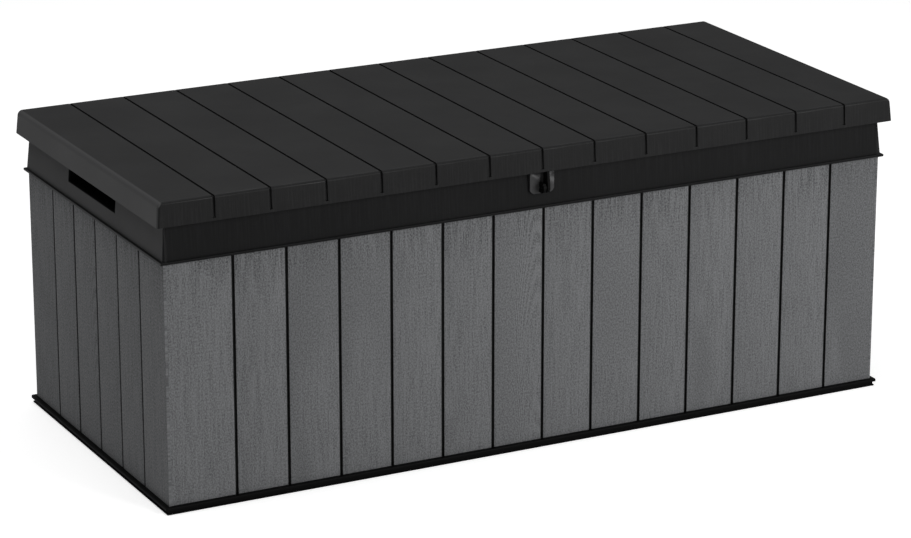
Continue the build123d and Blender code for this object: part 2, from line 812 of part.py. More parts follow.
with BuildPart() as lid_liner:
    liner_front = -(lid_half_y - lid_skin - lid_draft - liner_inset)
    liner_rear = hinge_y - liner_hinge_gap
    with BuildSketch(Plane.XY.offset(liner_bottom)):
        with Locations((0, liner_front)):
            Rectangle(
                2 * (lid_half_x - lid_skin - lid_draft - liner_inset),
                liner_rear - liner_front,
                align=low_edge,
            )
    extrude(amount=liner_skin)
    drill(liner_seats, liner_skin)
    for places in lid_bracket_seats.values():
        drill(places, lid_bracket_shaft)
save(lid_liner, "lid_liner")
save(screw_set(liner_seats, liner_shaft), "liner_screws")

bar_height = lid_ceiling - lid_rib_drop - liner_top - bar_clearance
for y_sign, name in ((-1, "front_bar"), (1, "rear_bar")):
    bar_y = y_sign * (lid_half_y - bar_inset)
    with BuildPart() as bar:
        with BuildSketch(Plane.YZ.offset(bar_end_gap - lid_half_x)):
            with Locations((bar_y, liner_top + bar_height / 2)):
                RectangleRounded(bar_width, bar_height, bar_round)
                RectangleRounded(
                    bar_width - 2 * bar_wall,
                    bar_height - 2 * bar_wall,
                    bar_round - bar_wall,
                    mode=Mode.SUBTRACT,
                )
        extrude(amount=2 * (lid_half_x - bar_end_gap))
    save(bar, f"lid_{name}")

hanging_lug = lug_eye(lug_places[1], foot_seat_y, skirt_bottom)
with BuildPart() as lid_lug:
    with BuildSketch(Plane.XZ.offset(lid_half_y)):
        with Locations((plate_offset, skirt_bottom)):
            Rectangle(foot_along, foot_up, align=low_edge)
    extrude(amount=foot_seat_y + lid_half_y, dir=(0, 1, 0))
    add(lid_cavity, mode=Mode.INTERSECT)
    add(hanging_lug)
    drill(lug_seats, foot_skin + lid_draft)
save(lid_lug, "lid_lug")
save(screw_set(lug_seats, lug_shaft), "lug_screws")


# Hinges: a leaf on the rear collar, a leaf under the lid, and a pin through both
pin_length = middle_knuckle_width + 2 * (knuckle_width + knuckle_gap)
for number, x in enumerate(hinge_places, 1):
    with BuildPart() as fixed_leaf:
        low_z = hinge_z - fixed_leaf_drop
        neck_z = hinge_z - knuckle_radius - 1
        with BuildSketch(Plane.YZ.offset(x - leaf_width / 2)):
            with BuildLine():
                Polyline(
                    (half_depth + collar_out(low_z), low_z),
                    (half_depth + collar_out(low_z) + fixed_leaf_skin, low_z),
                    (half_depth + collar_out(neck_z) + fixed_leaf_skin, neck_z),
                    (hinge_y - knuckle_radius / 2, hinge_z - knuckle_radius * 0.85),
                    (hinge_y, hinge_z),
                    (half_depth + collar_out(hinge_z), hinge_z),
                    close=True,
                )
            make_face()
        extrude(amount=leaf_width)
        half_slot = middle_knuckle_width / 2 + knuckle_gap
        with BuildSketch(Plane.YZ.offset(x - half_slot)):
            with Locations((hinge_y, hinge_z)):
                Circle(knuckle_radius + 2 * knuckle_gap)
        extrude(amount=2 * half_slot, mode=Mode.SUBTRACT)
        for start in (x - half_slot - knuckle_width, x + half_slot):
            with BuildSketch(Plane.YZ.offset(start)):
                with Locations((hinge_y, hinge_z)):
                    Circle(knuckle_radius)
            extrude(amount=knuckle_width)
        with BuildSketch(Plane.YZ.offset(x - leaf_width / 2)):
            with Locations((hinge_y, hinge_z)):
                Circle(hinge_pin_radius + pilot_gap)
        extrude(amount=leaf_width, mode=Mode.SUBTRACT)
        drill(fixed_leaf_seats, fixed_leaf_shaft)
    save(fixed_leaf, f"fixed_leaf_{number}")

    with BuildPart() as lid_leaf:
        leaf_back = lid_half_y - lid_skin - lid_draft
        with BuildSketch(Plane.YZ.offset(x - middle_knuckle_width / 2)):
            with Locations((hinge_y, hinge_z)):
                Circle(knuckle_radius)
            with BuildLine():
                Polyline(
                    (hinge_y + knuckle_radius * 0.4, hinge_z),
                    (hinge_y + knuckle_radius, hinge_z),
                    (leaf_back, hinge_z + 2 * knuckle_radius),
                    (leaf_back - lid_leaf_skin, hinge_z + 2 * knuckle_radius),
                    close=True,
                )
            make_face()
        extrude(amount=middle_knuckle_width)
        with BuildSketch(Plane.YZ.offset(x - leaf_width / 2)):
            with BuildLine():
                Polyline(
                    (leaf_back, hinge_z + 2 * knuckle_radius - 1),
                    (leaf_back, lid_ceiling),
                    (hinge_y - lid_leaf_reach, lid_ceiling),
                    (hinge_y - lid_leaf_reach, lid_leaf_level),
                    (leaf_back - lid_leaf_skin, lid_leaf_level),
                    (leaf_back - lid_leaf_skin, hinge_z + 2 * knuckle_radius - 1),
                    close=True,
                )
            make_face()
        extrude(amount=leaf_width)
        with BuildSketch(Plane.YZ.offset(x - leaf_width / 2)):
            with Locations((hinge_y, hinge_z)):
                Circle(hinge_pin_radius + running_gap)
        extrude(amount=leaf_width, mode=Mode.SUBTRACT)
        drill(lid_leaf_seats, lid_leaf_shaft)
    save(lid_leaf, f"lid_leaf_{number}")

    with BuildPart() as hinge_pin:
        with BuildSketch(Plane.YZ.offset(x - pin_length / 2)):
            with Locations((hinge_y, hinge_z)):
                Circle(hinge_pin_radius)
        extrude(amount=pin_length)
    save(hinge_pin, f"hinge_pin_{number}")
save(screw_set(fixed_leaf_seats, fixed_leaf_shaft), "fixed_leaf_screws")
save(screw_set(lid_leaf_seats, lid_leaf_shaft), "lid_leaf_screws")


# Struts: a tube on the side wall's pivot and a rod on the lid's pivot, on one line
rise_y = (lid_pivot_y - wall_pivot_y) / strut_length
rise_z = (lid_pivot_z - wall_pivot_z) / strut_length
eye_out = strut_x + eye_width / 2 + pivot_side_gap
eye_in = strut_x - eye_width / 2 - pivot_side_gap
pivot_end = eye_in - clip_thickness - pivot_tail
for x_sign, side in ((-1, "left"), (1, "right")):
    strut_plane = Plane(
        origin=(x_sign * strut_x, wall_pivot_y, wall_pivot_z),
        x_dir=(1, 0, 0),
        z_dir=(0, rise_y, rise_z),
    )
    with BuildPart() as strut_tube:
        with BuildSketch(strut_plane):
            Circle(eye_radius * 0.7)
        extrude(amount=tube_start + 1)
        with BuildSketch(strut_plane.offset(tube_start)):
            Circle(tube_radius)
        extrude(amount=tube_end - tube_start)
        with BuildSketch(Plane.YZ.offset(x_sign * strut_x)):
            with Locations((wall_pivot_y, wall_pivot_z)):
                Circle(eye_radius)
        extrude(amount=eye_width / 2, both=True)
        with BuildSketch(strut_plane.offset(tube_start + tube_floor)):
            Circle(tube_bore)
        extrude(amount=tube_end, mode=Mode.SUBTRACT)
        with BuildSketch(Plane.YZ.offset(x_sign * strut_x)):
            with Locations((wall_pivot_y, wall_pivot_z)):
                Circle(pivot_radius + running_gap)
        extrude(amount=eye_width, both=True, mode=Mode.SUBTRACT)
    save(strut_tube, f"{side}_strut_tube")

    with BuildPart() as strut_cap:
        with BuildSketch(strut_plane.offset(tube_end)):
            Circle(cap_radius)
        extrude(amount=cap_length)
        with BuildSketch(strut_plane.offset(tube_end - cap_spigot)):
            Circle(tube_bore - pilot_gap)
        extrude(amount=cap_spigot)
        with BuildSketch(strut_plane.offset(tube_end - cap_spigot)):
            Circle(rod_radius + piston_gap)
        extrude(amount=cap_spigot + cap_length, mode=Mode.SUBTRACT)
    save(strut_cap, f"{side}_strut_cap")

    with BuildPart() as strut_rod:
        with BuildSketch(strut_plane.offset(piston_start)):
            Circle(tube_bore - piston_gap)
        extrude(amount=piston_length)
        with BuildSketch(strut_plane.offset(piston_start)):
            Circle(rod_radius)
        extrude(amount=strut_length - piston_start)
        with BuildSketch(Plane.YZ.offset(x_sign * strut_x)):
            with Locations((lid_pivot_y, lid_pivot_z)):
                Circle(eye_radius)
        extrude(amount=eye_width / 2, both=True)
        with BuildSketch(Plane.YZ.offset(x_sign * strut_x)):
            with Locations((lid_pivot_y, lid_pivot_z)):
                Circle(pivot_radius + running_gap)
        extrude(amount=eye_width, both=True, mode=Mode.SUBTRACT)
    save(strut_rod, f"{side}_strut_rod")

    with BuildPart() as wall_bracket:
        with BuildSketch(Plane.YZ.offset(x_sign * inner_x)):
            with Locations((wall_pivot_y, wall_pivot_z)):
                RectangleRounded(*wall_bracket_size, bracket_round)
        extrude(amount=-x_sign * bracket_skin)
        with BuildSketch(Plane.YZ.offset(x_sign * eye_out)):
            with Locations((wall_pivot_y, wall_pivot_z)):
                Circle(boss_radius)
        extrude(amount=x_sign * (inner_x - eye_out))
        with BuildSketch(Plane.YZ.offset(x_sign * pivot_end)):
            with Locations((wall_pivot_y, wall_pivot_z)):
                Circle(pivot_radius)
        extrude(amount=x_sign * (inner_x - pivot_end))
        drill(bracket_seats[x_sign], bracket_skin)
    save(wall_bracket, f"{side}_wall_bracket")

    with BuildPart() as lid_bracket:
        with BuildSketch(Plane.XY.offset(lid_bracket_level)):
            with Locations((x_sign * lid_bracket_x, lid_pivot_y)):
                RectangleRounded(*lid_bracket_size, bracket_round)
        extrude(amount=bracket_skin)
        with BuildSketch(Plane.YZ.offset(x_sign * tab_x)):
            with Locations((lid_pivot_y, lid_pivot_z)):
                Circle(lid_tab_width / 2)
                Rectangle(lid_tab_width, lid_bracket_level + 1 - lid_pivot_z, align=low_edge)
        extrude(amount=x_sign * bracket_skin)
        with BuildSketch(Plane.YZ.offset(x_sign * pivot_end)):
            with Locations((lid_pivot_y, lid_pivot_z)):
                Circle(pivot_radius)
        extrude(amount=x_sign * (tab_x + bracket_skin / 2 - pivot_end))
        drill(lid_bracket_seats[x_sign], bracket_skin)
    save(lid_bracket, f"{side}_lid_bracket")

for name, y, z in (
    ("wall", wall_pivot_y, wall_pivot_z),
    ("lid", lid_pivot_y, lid_pivot_z),
):
    with BuildPart() as clips:
        for x_sign in (-1, 1):
            with BuildSketch(Plane.YZ.offset(x_sign * eye_in)):
                with Locations((y, z)):
                    Circle(clip_radius)
                    Circle(pivot_radius + pilot_gap, mode=Mode.SUBTRACT)
            extrude(amount=-x_sign * clip_thickness)
    save(clips, f"{name}_pivot_clips")
wall_places = [place for x_sign in (-1, 1) for place in bracket_seats[x_sign]]
save(screw_set(wall_places, bracket_shaft), "wall_bracket_screws")
lid_places = [place for x_sign in (-1, 1) for place in lid_bracket_seats[x_sign]]
save(screw_set(lid_places, lid_bracket_shaft), "lid_bracket_screws")
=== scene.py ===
import math

import bmesh
import bpy
from mathutils import Matrix, Vector


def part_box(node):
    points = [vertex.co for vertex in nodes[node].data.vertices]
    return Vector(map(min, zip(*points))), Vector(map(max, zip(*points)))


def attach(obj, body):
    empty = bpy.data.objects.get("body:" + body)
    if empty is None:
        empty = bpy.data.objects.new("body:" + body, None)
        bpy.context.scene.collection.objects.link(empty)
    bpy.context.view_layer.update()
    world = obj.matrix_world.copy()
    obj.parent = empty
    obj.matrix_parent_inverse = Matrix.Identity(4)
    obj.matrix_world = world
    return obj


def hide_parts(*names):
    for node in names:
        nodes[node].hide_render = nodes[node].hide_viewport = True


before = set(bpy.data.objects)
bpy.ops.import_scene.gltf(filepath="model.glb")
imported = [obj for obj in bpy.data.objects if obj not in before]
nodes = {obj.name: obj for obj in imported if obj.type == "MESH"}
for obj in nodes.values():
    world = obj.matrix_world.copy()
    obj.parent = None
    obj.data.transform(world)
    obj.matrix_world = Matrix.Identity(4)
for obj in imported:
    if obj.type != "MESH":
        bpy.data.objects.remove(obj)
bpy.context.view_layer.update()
scene = bpy.context.scene
millimetre = 0.001


# camera and light

cameraSetup = {
    "azimuth": -27.2307,
    "elevation": 17.9705,
    "distance": 6.52742,
    "target": (-0.07687, -0.14638, 0.2970),
    "lens": 144.16,
    "sensor": 36.0,
    "farthest": 60,
}


def addCamera(setup):
    data = bpy.data.cameras.new("viewCamera")
    data.lens = setup["lens"]
    data.sensor_width = setup["sensor"]
    data.clip_end = setup["farthest"]
    camera = bpy.data.objects.new("viewCamera", data)
    scene.collection.objects.link(camera)
    turn = math.radians(setup["azimuth"])
    rise = math.radians(setup["elevation"])
    back = Vector((math.sin(turn) * math.cos(rise), -math.cos(turn) * math.cos(rise), math.sin(rise)))
    camera.location = Vector(setup["target"]) + back * setup["distance"]
    camera.rotation_euler = back.to_track_quat("Z", "Y").to_euler()
    scene.camera = camera


addCamera(cameraSetup)

lightSetup = {
    "worldFill": 0.26,
    "keyFront": {"size": (3.6, 2.2), "power": 222, "place": (2.9, -4.7, 2.3), "aim": (0.3, 0, 0.25)},
    "topSoft": {"size": (4.0, 3.0), "power": 60, "place": (-1.2, 0.6, 3.6), "aim": (0, 0, 0.4)},
}


def addSoftLight(name, values):
    data = bpy.data.lights.new(name, "AREA")
    data.shape = "RECTANGLE"
    data.size, data.size_y = values["size"]
    data.energy = values["power"]
    lamp = bpy.data.objects.new(name, data)
    scene.collection.objects.link(lamp)
    lamp.location = values["place"]
    away = Vector(values["place"]) - Vector(values["aim"])
    lamp.rotation_euler = away.to_track_quat("Z", "Y").to_euler()


def addWorld(fill):
    # full white where the camera sees it, and a weaker white as light
    world = bpy.data.worlds.new("studio")
    scene.world = world
    world.use_nodes = True
    tree = world.node_tree
    tree.nodes.clear()
    mixed = tree.nodes.new("ShaderNodeMixShader")
    for slot, strength in ((1, fill), (2, 1.0)):
        shade = tree.nodes.new("ShaderNodeBackground")
        shade.inputs["Color"].default_value = (1, 1, 1, 1)
        shade.inputs["Strength"].default_value = strength
        tree.links.new(shade.outputs["Background"], mixed.inputs[slot])
    sight = tree.nodes.new("ShaderNodeLightPath")
    tree.links.new(sight.outputs["Is Camera Ray"], mixed.inputs["Fac"])
    worldOut = tree.nodes.new("ShaderNodeOutputWorld")
    tree.links.new(mixed.outputs["Shader"], worldOut.inputs["Surface"])


for lampName in ("keyFront", "topSoft"):
    addSoftLight(lampName, lightSetup[lampName])
addWorld(lightSetup["worldFill"])
scene.view_settings.view_transform = "Standard"
print("camera and lights are set")


# node helpers, for shader trees and geometry trees alike

def newTree(name, kind, inputs, outputs):
    tree = bpy.data.node_groups.new(name, kind)
    for direction, sockets in (("INPUT", inputs), ("OUTPUT", outputs)):
        for socketName, socketKind, *value in sockets:
            item = tree.interface.new_socket(name=socketName, in_out=direction, socket_type=socketKind)
            if value:
                item.default_value = value[0]
    return tree, tree.nodes.new("NodeGroupInput"), tree.nodes.new("NodeGroupOutput")


def feed(tree, slot, value):
    # a socket takes a number or a link
    if isinstance(value, (int, float)):
        slot.default_value = value
    else:
        tree.links.new(value, slot)


def addMath(tree, kind, first, second=None, third=None, clamp=False):
    node = tree.nodes.new("ShaderNodeMath")
    node.operation = kind
    node.use_clamp = clamp
    for slot, value in zip(node.inputs, (first, second, third)):
        if value is not None:
            feed(tree, slot, value)
    return node.outputs[0]


def addNoise(tree, vector, scale, detail=2.0, rough=0.5):
    node = tree.nodes.new("ShaderNodeTexNoise")
    node.inputs["Scale"].default_value = scale
    node.inputs["Detail"].default_value = detail
    node.inputs["Roughness"].default_value = rough
    tree.links.new(vector, node.inputs["Vector"])
    return node.outputs["Fac"]


def addRange(tree, value, low, high, newLow=0.0, newHigh=1.0):
    node = tree.nodes.new("ShaderNodeMapRange")
    node.inputs["From Min"].default_value = low
    node.inputs["From Max"].default_value = high
    node.inputs["To Min"].default_value = newLow
    node.inputs["To Max"].default_value = newHigh
    tree.links.new(value, node.inputs["Value"])
    return node.outputs["Result"]


def addVector(tree, x, y, z):
    node = tree.nodes.new("ShaderNodeCombineXYZ")
    for slot, value in zip(node.inputs, (x, y, z)):
        feed(tree, slot, value)
    return node.outputs["Vector"]


def splitVector(tree, vector):
    node = tree.nodes.new("ShaderNodeSeparateXYZ")
    tree.links.new(vector, node.inputs[0])
    return node.outputs


# shader groups that several finishes share

grainLook = {
    "fibresPerMetre": 300.0,
    "fibreAlong": 16.0,
    "swayAcross": 9.0,
    "swayAlong": 5.0,
    "swayReach": 0.016,
    "archBend": 150.0,
    "archRings": 150.0,
    "archBlur": 9.0,
    "archBlurScale": (25.0, 7.0),
    "archLuck": 0.62,  # boards with more luck than this show arches
    "archShare": 0.55,
    "patchScale": (14.0, 3.5),
    "patchFade": (0.42, 0.62),
    "boardShift": 37.0,  # moves the figure on from one board to the next
    "fibreFade": (0.62, 0.36),
    "gritPerMetre": 400.0,
    "gritAlong": 0.7,
    "gritShift": 0.31,
    "gritFade": (0.38, 0.62),
    "gritShare": 0.45,
    "boardTop": 0.43,
    "bareFoot": 0.05,
    # painted shade, in streaks, on the boards just under the collar
    "streakReach": 0.075,
    "streakFade": (0.42, 0.6),
    "streakStrength": 0.9,
}


def stretched(tree, across, along, shift, acrossScale, alongScale):
    return addVector(tree, addMath(tree, "MULTIPLY", across, acrossScale), shift,
                     addMath(tree, "MULTIPLY", along, alongScale))


def archFigure(tree, across, swayed, along, shift, look):
    # nested arches up the board, wavering a little
    bow = addMath(tree, "MULTIPLY", swayed, swayed)
    archSize = addMath(tree, "MULTIPLY_ADD", bow, look["archBend"], along)
    blur = addNoise(tree, stretched(tree, across, along, shift, *look["archBlurScale"]), 1.0, 2.0)
    ripple = addMath(tree, "MULTIPLY_ADD", blur, look["archBlur"],
                     addMath(tree, "MULTIPLY", archSize, look["archRings"]))
    return addMath(tree, "MULTIPLY_ADD", addMath(tree, "SINE", ripple), 0.5, 0.5)


def archShare(tree, across, along, luck, shift, look):
    # some boards have arches, in patches
    chosen = addMath(tree, "GREATER_THAN", luck, look["archLuck"])
    patchAt = stretched(tree, across, along, shift, *look["patchScale"])
    patch = addRange(tree, addNoise(tree, patchAt, 1.0, 1.0), *look["patchFade"])
    return addMath(tree, "MULTIPLY", addMath(tree, "MULTIPLY", chosen, patch), look["archShare"])


def sandGrit(tree, across, along, whole, scale, look):
    # sandy speckle between the fibres
    place = addVector(tree, across, addMath(tree, "MULTIPLY", whole, look["gritShift"]),
                      addMath(tree, "MULTIPLY", along, look["gritAlong"]))
    scaled = tree.nodes.new("ShaderNodeVectorMath")
    scaled.operation = "SCALE"
    tree.links.new(place, scaled.inputs[0])
    tree.links.new(scale, scaled.inputs["Scale"])
    return addNoise(tree, scaled.outputs["Vector"], 1.0, 2.0, 0.7)


def collarShadeStreaks(tree, along, top, fibre, look):
    # painted shade, in streaks, on the boards just under the collar
    drop = addMath(tree, "SUBTRACT", top, along)
    close = addRange(tree, drop, 0.0, look["streakReach"], 1.0, 0.0)
    streak = addRange(tree, fibre, *look["streakFade"], 1.0, 0.0)
    offFoot = addRange(tree, along, 0.0, look["bareFoot"])
    return addMath(tree, "MULTIPLY", addMath(tree, "MULTIPLY", close, streak), offFoot)


def buildPlankGrain(look):
    # across and along are in metres; plank numbers the boards so that each has its own figure
    tree, start, end = newTree(
        "plankGrain", "ShaderNodeTree",
        (
            ("Across", "NodeSocketFloat", 0.0),
            ("Along", "NodeSocketFloat", 0.0),
            ("Plank", "NodeSocketFloat", 0.0),
            ("Fine Width", "NodeSocketFloat", look["fibresPerMetre"]),
            ("Grit Scale", "NodeSocketFloat", look["gritPerMetre"]),
            ("Top", "NodeSocketFloat", look["boardTop"]),
        ),
        (("Height", "NodeSocketFloat"), ("Fibre", "NodeSocketFloat"), ("Speckle", "NodeSocketFloat")),
    )
    across, along, plank = (start.outputs[i] for i in range(3))
    whole = addMath(tree, "FLOOR", addMath(tree, "ADD", plank, 0.5))
    dice = tree.nodes.new("ShaderNodeTexWhiteNoise")
    dice.noise_dimensions = "1D"
    tree.links.new(whole, dice.inputs["W"])
    luck = dice.outputs["Value"]
    shift = addMath(tree, "MULTIPLY", luck, look["boardShift"])
    # long fibres, slightly wavy
    swayAt = stretched(tree, across, along, whole, look["swayAcross"], look["swayAlong"])
    sway = addMath(tree, "SUBTRACT", addNoise(tree, swayAt, 1.0, 2.0), 0.5)
    swayed = addMath(tree, "MULTIPLY_ADD", sway, look["swayReach"], across)
    fibreAt = stretched(tree, swayed, along, shift, start.outputs["Fine Width"], look["fibreAlong"])
    fibre = addNoise(tree, fibreAt, 1.0, 3.0, 0.62)
    mixed = tree.nodes.new("ShaderNodeMix")
    tree.links.new(archShare(tree, across, along, luck, shift, look), mixed.inputs["Factor"])
    tree.links.new(fibre, mixed.inputs["A"])
    tree.links.new(archFigure(tree, across, swayed, along, shift, look), mixed.inputs["B"])
    figure = mixed.outputs["Result"]
    grit = sandGrit(tree, across, along, whole, start.outputs["Grit Scale"], look)
    height = addMath(tree, "MULTIPLY_ADD", grit, look["gritShare"],
                     addMath(tree, "MULTIPLY", figure, 1.0 - look["gritShare"]))
    # painted shade, in streaks, on the boards just under the collar, added to the dark fibres
    streaks = collarShadeStreaks(tree, along, start.outputs["Top"], fibre, look)
    fibreAndShade = addMath(tree, "MULTIPLY_ADD", streaks, look["streakStrength"],
                     addRange(tree, figure, *look["fibreFade"]))
    tree.links.new(height, end.inputs["Height"])
    tree.links.new(fibreAndShade, end.inputs["Fibre"])
    tree.links.new(addRange(tree, grit, *look["gritFade"]), end.inputs["Speckle"])
    return tree


mouldLook = {
    "streaksPerMetre": 330.0,
    "streakAlong": 11.0,
    "finePerMetre": 900.0,
    "mottlePerMetre": 7.0,
    "fineShare": 0.3,
    "frontFade": (0.6, 0.9),  # how squarely a face has to look to the front or the rear
    "endFade": (0.5, 0.9),
    "edgeFade": (0.12, 0.4),
    "edgeLimit": (0.97, 0.7),
    "edgeUp": (0.1, 0.35),
    "streakFade": (0.38, 0.66),
}


def buildMouldSkin(look):
    # the fine texture of moulded resin: streaks on the front and rear faces, plain at the ends
    tree, start, end = newTree(
        "mouldSkin", "ShaderNodeTree",
        (
            ("Vector", "NodeSocketVector"),
            ("Normal", "NodeSocketVector"),
            ("Streak Scale", "NodeSocketFloat", look["streaksPerMetre"]),
        ),
        tuple((name, "NodeSocketFloat")
              for name in ("Height", "Streak", "Mottle", "Front Face", "End Face", "Turned Edge")),
    )
    place = splitVector(tree, start.outputs["Vector"])
    facing = splitVector(tree, start.outputs["Normal"])
    frontFace = addRange(tree, addMath(tree, "ABSOLUTE", facing["Y"]), *look["frontFade"])
    sideways = addMath(tree, "ABSOLUTE", facing["X"])
    endFace = addRange(tree, sideways, *look["endFade"])
    turned = addMath(tree, "MULTIPLY", addRange(tree, sideways, *look["edgeFade"]),
                     addRange(tree, sideways, *look["edgeLimit"]))
    turned = addMath(tree, "MULTIPLY", turned, addRange(tree, facing["Z"], *look["edgeUp"]))
    streakAt = addVector(tree, addMath(tree, "MULTIPLY", place["X"], start.outputs["Streak Scale"]), 0.0,
                         addMath(tree, "MULTIPLY", place["Z"], look["streakAlong"]))
    streak = addNoise(tree, streakAt, 1.0, 3.0, 0.65)
    fine = addNoise(tree, start.outputs["Vector"], look["finePerMetre"], 2.0, 0.6)
    mottle = addNoise(tree, start.outputs["Vector"], look["mottlePerMetre"], 3.0, 0.55)
    shown = addMath(tree, "MULTIPLY", addRange(tree, streak, *look["streakFade"]), frontFace)
    height = addMath(tree, "MULTIPLY_ADD", fine, look["fineShare"],
                     addMath(tree, "MULTIPLY", shown, 1.0 - look["fineShare"]))
    for name, value in (("Height", height), ("Streak", shown), ("Mottle", mottle), ("Front Face", frontFace),
                        ("End Face", endFace), ("Turned Edge", turned)):
        tree.links.new(value, end.inputs[name])
    return tree


scuffLook = {"finePerMetre": 160.0, "fineFade": (0.35, 0.7), "broadFade": (0.45, 0.75)}


def buildScuff(look):
    # faint rubbed and dusty patches, as a mask from 0 to 1
    tree, start, end = newTree(
        "scuff", "ShaderNodeTree",
        (
            ("Vector", "NodeSocketVector"),
            ("Size", "NodeSocketFloat", 9.0),
            ("Amount", "NodeSocketFloat", 0.3),
        ),
        (("Mask", "NodeSocketFloat"),),
    )
    broad = tree.nodes.new("ShaderNodeTexNoise")
    broad.inputs["Detail"].default_value = 4.0
    tree.links.new(start.outputs["Vector"], broad.inputs["Vector"])
    tree.links.new(start.outputs["Size"], broad.inputs["Scale"])
    fine = addNoise(tree, start.outputs["Vector"], look["finePerMetre"], 3.0, 0.7)
    both = addMath(tree, "MULTIPLY", addRange(tree, broad.outputs["Fac"], *look["broadFade"]),
                   addRange(tree, fine, *look["fineFade"]))
    tree.links.new(addMath(tree, "MULTIPLY", both, start.outputs["Amount"], clamp=True), end.inputs["Mask"])
    return tree


plankGrain = buildPlankGrain(grainLook)
mouldSkin = buildMouldSkin(mouldLook)
scuff = buildScuff(scuffLook)


# finishes

def newMaterial(name):
    material = bpy.data.materials.new(name)
    material.use_nodes = True
    tree = material.node_tree
    return material, tree, tree.nodes["Principled BSDF"]


def placeGroup(tree, group, **values):
    node = tree.nodes.new("ShaderNodeGroup")
    node.node_tree = group
    for key, value in values.items():
        node.inputs[key].default_value = value
    return node


def addScuff(tree, size, amount):
    # the scuff mask in the piece's own coordinates, and the coordinates themselves
    place = tree.nodes.new("ShaderNodeTexCoord")
    wear = placeGroup(tree, scuff, Size=size, Amount=amount)
    tree.links.new(place.outputs["Object"], wear.inputs["Vector"])
    return wear.outputs["Mask"], place.outputs


def addColourMix(tree, mask, first, second):
    node = tree.nodes.new("ShaderNodeMix")
    node.data_type = "RGBA"
    node.clamp_factor = True
    colourInputs = [s for s in node.inputs if s.type == "RGBA"]
    for slot, value in zip(colourInputs, (first, second)):
        if isinstance(value, tuple):
            slot.default_value = (*value, 1)
        else:
            tree.links.new(value, slot)
    tree.links.new(mask, node.inputs[0])
    return [s for s in node.outputs if s.type == "RGBA"][0]


def addBump(tree, shader, height, strength, distance):
    node = tree.nodes.new("ShaderNodeBump")
    node.inputs["Strength"].default_value = strength
    node.inputs["Distance"].default_value = distance
    tree.links.new(height, node.inputs["Height"])
    tree.links.new(node.outputs["Normal"], shader.inputs["Normal"])


grooveShadowFade = (0.05, 0.4)


def paintedGrooveShade(tree):
    # painted shade down in the grooves between boards
    depth = tree.nodes.new("ShaderNodeAttribute")
    depth.attribute_name = "grooveDepth"
    return addRange(tree, depth.outputs["Fac"], *grooveShadowFade)


plankFinish = {
    "base": (0.105, 0.107, 0.111),
    "dark": (0.040, 0.041, 0.043),
    "light": (0.190, 0.193, 0.198),
    # painted shade: near black down in the grooves
    "groove": (0.0015, 0.0015, 0.0016),
    "fibre": 0.62,
    "speckle": 0.62,
    "scuffSize": 5.0,
    "wear": 0.2,
    "roughness": 0.66,
    "rougher": 0.12,
    "smoother": 0.08,
    "specular": 0.2,
    "bump": 0.6,
    "bumpDepth": 0.0007,
}


def makePlankResin(values):
    material, tree, shader = newMaterial("plankResin")
    where = tree.nodes.new("ShaderNodeAttribute")
    where.attribute_name = "plankPlace"
    place = splitVector(tree, where.outputs["Vector"])
    grain = placeGroup(tree, plankGrain)
    tree.links.new(place["X"], grain.inputs["Across"])
    tree.links.new(place["Y"], grain.inputs["Plank"])
    tree.links.new(place["Z"], grain.inputs["Along"])
    worn, _ = addScuff(tree, values["scuffSize"], values["wear"])
    # the dark fibres of the grain, with the painted shade under the collar
    dark = addMath(tree, "MULTIPLY", grain.outputs["Fibre"], values["fibre"], clamp=True)
    light = addMath(tree, "MULTIPLY", grain.outputs["Speckle"], values["speckle"], clamp=True)
    colour = addColourMix(tree, dark, values["base"], values["dark"])
    colour = addColourMix(tree, light, colour, values["light"])
    colour = addColourMix(tree, worn, colour, values["light"])
    # painted shade in the grooves
    colour = addColourMix(tree, paintedGrooveShade(tree), colour, values["groove"])
    tree.links.new(colour, shader.inputs["Base Color"])
    tree.links.new(addRange(tree, grain.outputs["Speckle"], 0.0, 1.0, values["roughness"] + values["rougher"],
                            values["roughness"] - values["smoother"]), shader.inputs["Roughness"])
    shader.inputs["Specular IOR Level"].default_value = values["specular"]
    addBump(tree, shader, grain.outputs["Height"], values["bump"], values["bumpDepth"])
    return material


resinCommon = {
    # the same share sets the painted shade on front and rear faces
    "shade": 0.35,  # how dark a streak is, as a share of the base
    "scuffSize": 6.0,
    "smoother": 0.03,
    "rougher": 0.05,
    "bumpDepth": 0.0003,
}
# the paler colour stands for painted sheen on end faces, a painted highlight along turned top edges, and real
# wear
resinFinishes = {
    "lidResin": {
        "base": (0.0165, 0.0166, 0.0170), "pale": (0.060, 0.060, 0.061), "frontShade": 0.64,
        "streaks": 0.75, "endBoost": 0.9, "edgeBoost": 0.9, "wear": 0.05, "roughness": 0.5,
        "specular": 0.13, "bump": 0.3, "scale": 300.0,
    },
    "collarResin": {
        "base": (0.0088, 0.0090, 0.0094), "pale": (0.046, 0.046, 0.047), "frontShade": 0.6,
        "streaks": 0.7, "endBoost": 0.9, "edgeBoost": 0.0, "wear": 0.04, "roughness": 0.52,
        "specular": 0.1, "bump": 0.3, "scale": 320.0,
    },
    "trayResin": {
        "base": (0.0022, 0.0022, 0.0023), "pale": (0.006, 0.006, 0.006), "frontShade": 0.0,
        "streaks": 0.2, "endBoost": 0.3, "edgeBoost": 0.0, "wear": 0.1, "roughness": 0.55,
        "specular": 0.06, "bump": 0.2, "scale": 300.0,
    },
    "lockResin": {
        "base": (0.033, 0.033, 0.034), "pale": (0.06, 0.06, 0.06), "frontShade": 0.0,
        "streaks": 0.3, "endBoost": 0.0, "edgeBoost": 0.4, "wear": 0.1, "roughness": 0.42,
        "specular": 0.24, "bump": 0.15, "scale": 500.0,
    },
    "linerResin": {
        "base": (0.02, 0.02, 0.021), "pale": (0.03, 0.03, 0.031), "frontShade": 0.0,
        "streaks": 0.15, "endBoost": 0.0, "edgeBoost": 0.0, "wear": 0.25, "roughness": 0.58,
        "specular": 0.2, "bump": 0.3, "scale": 220.0,
    },
}


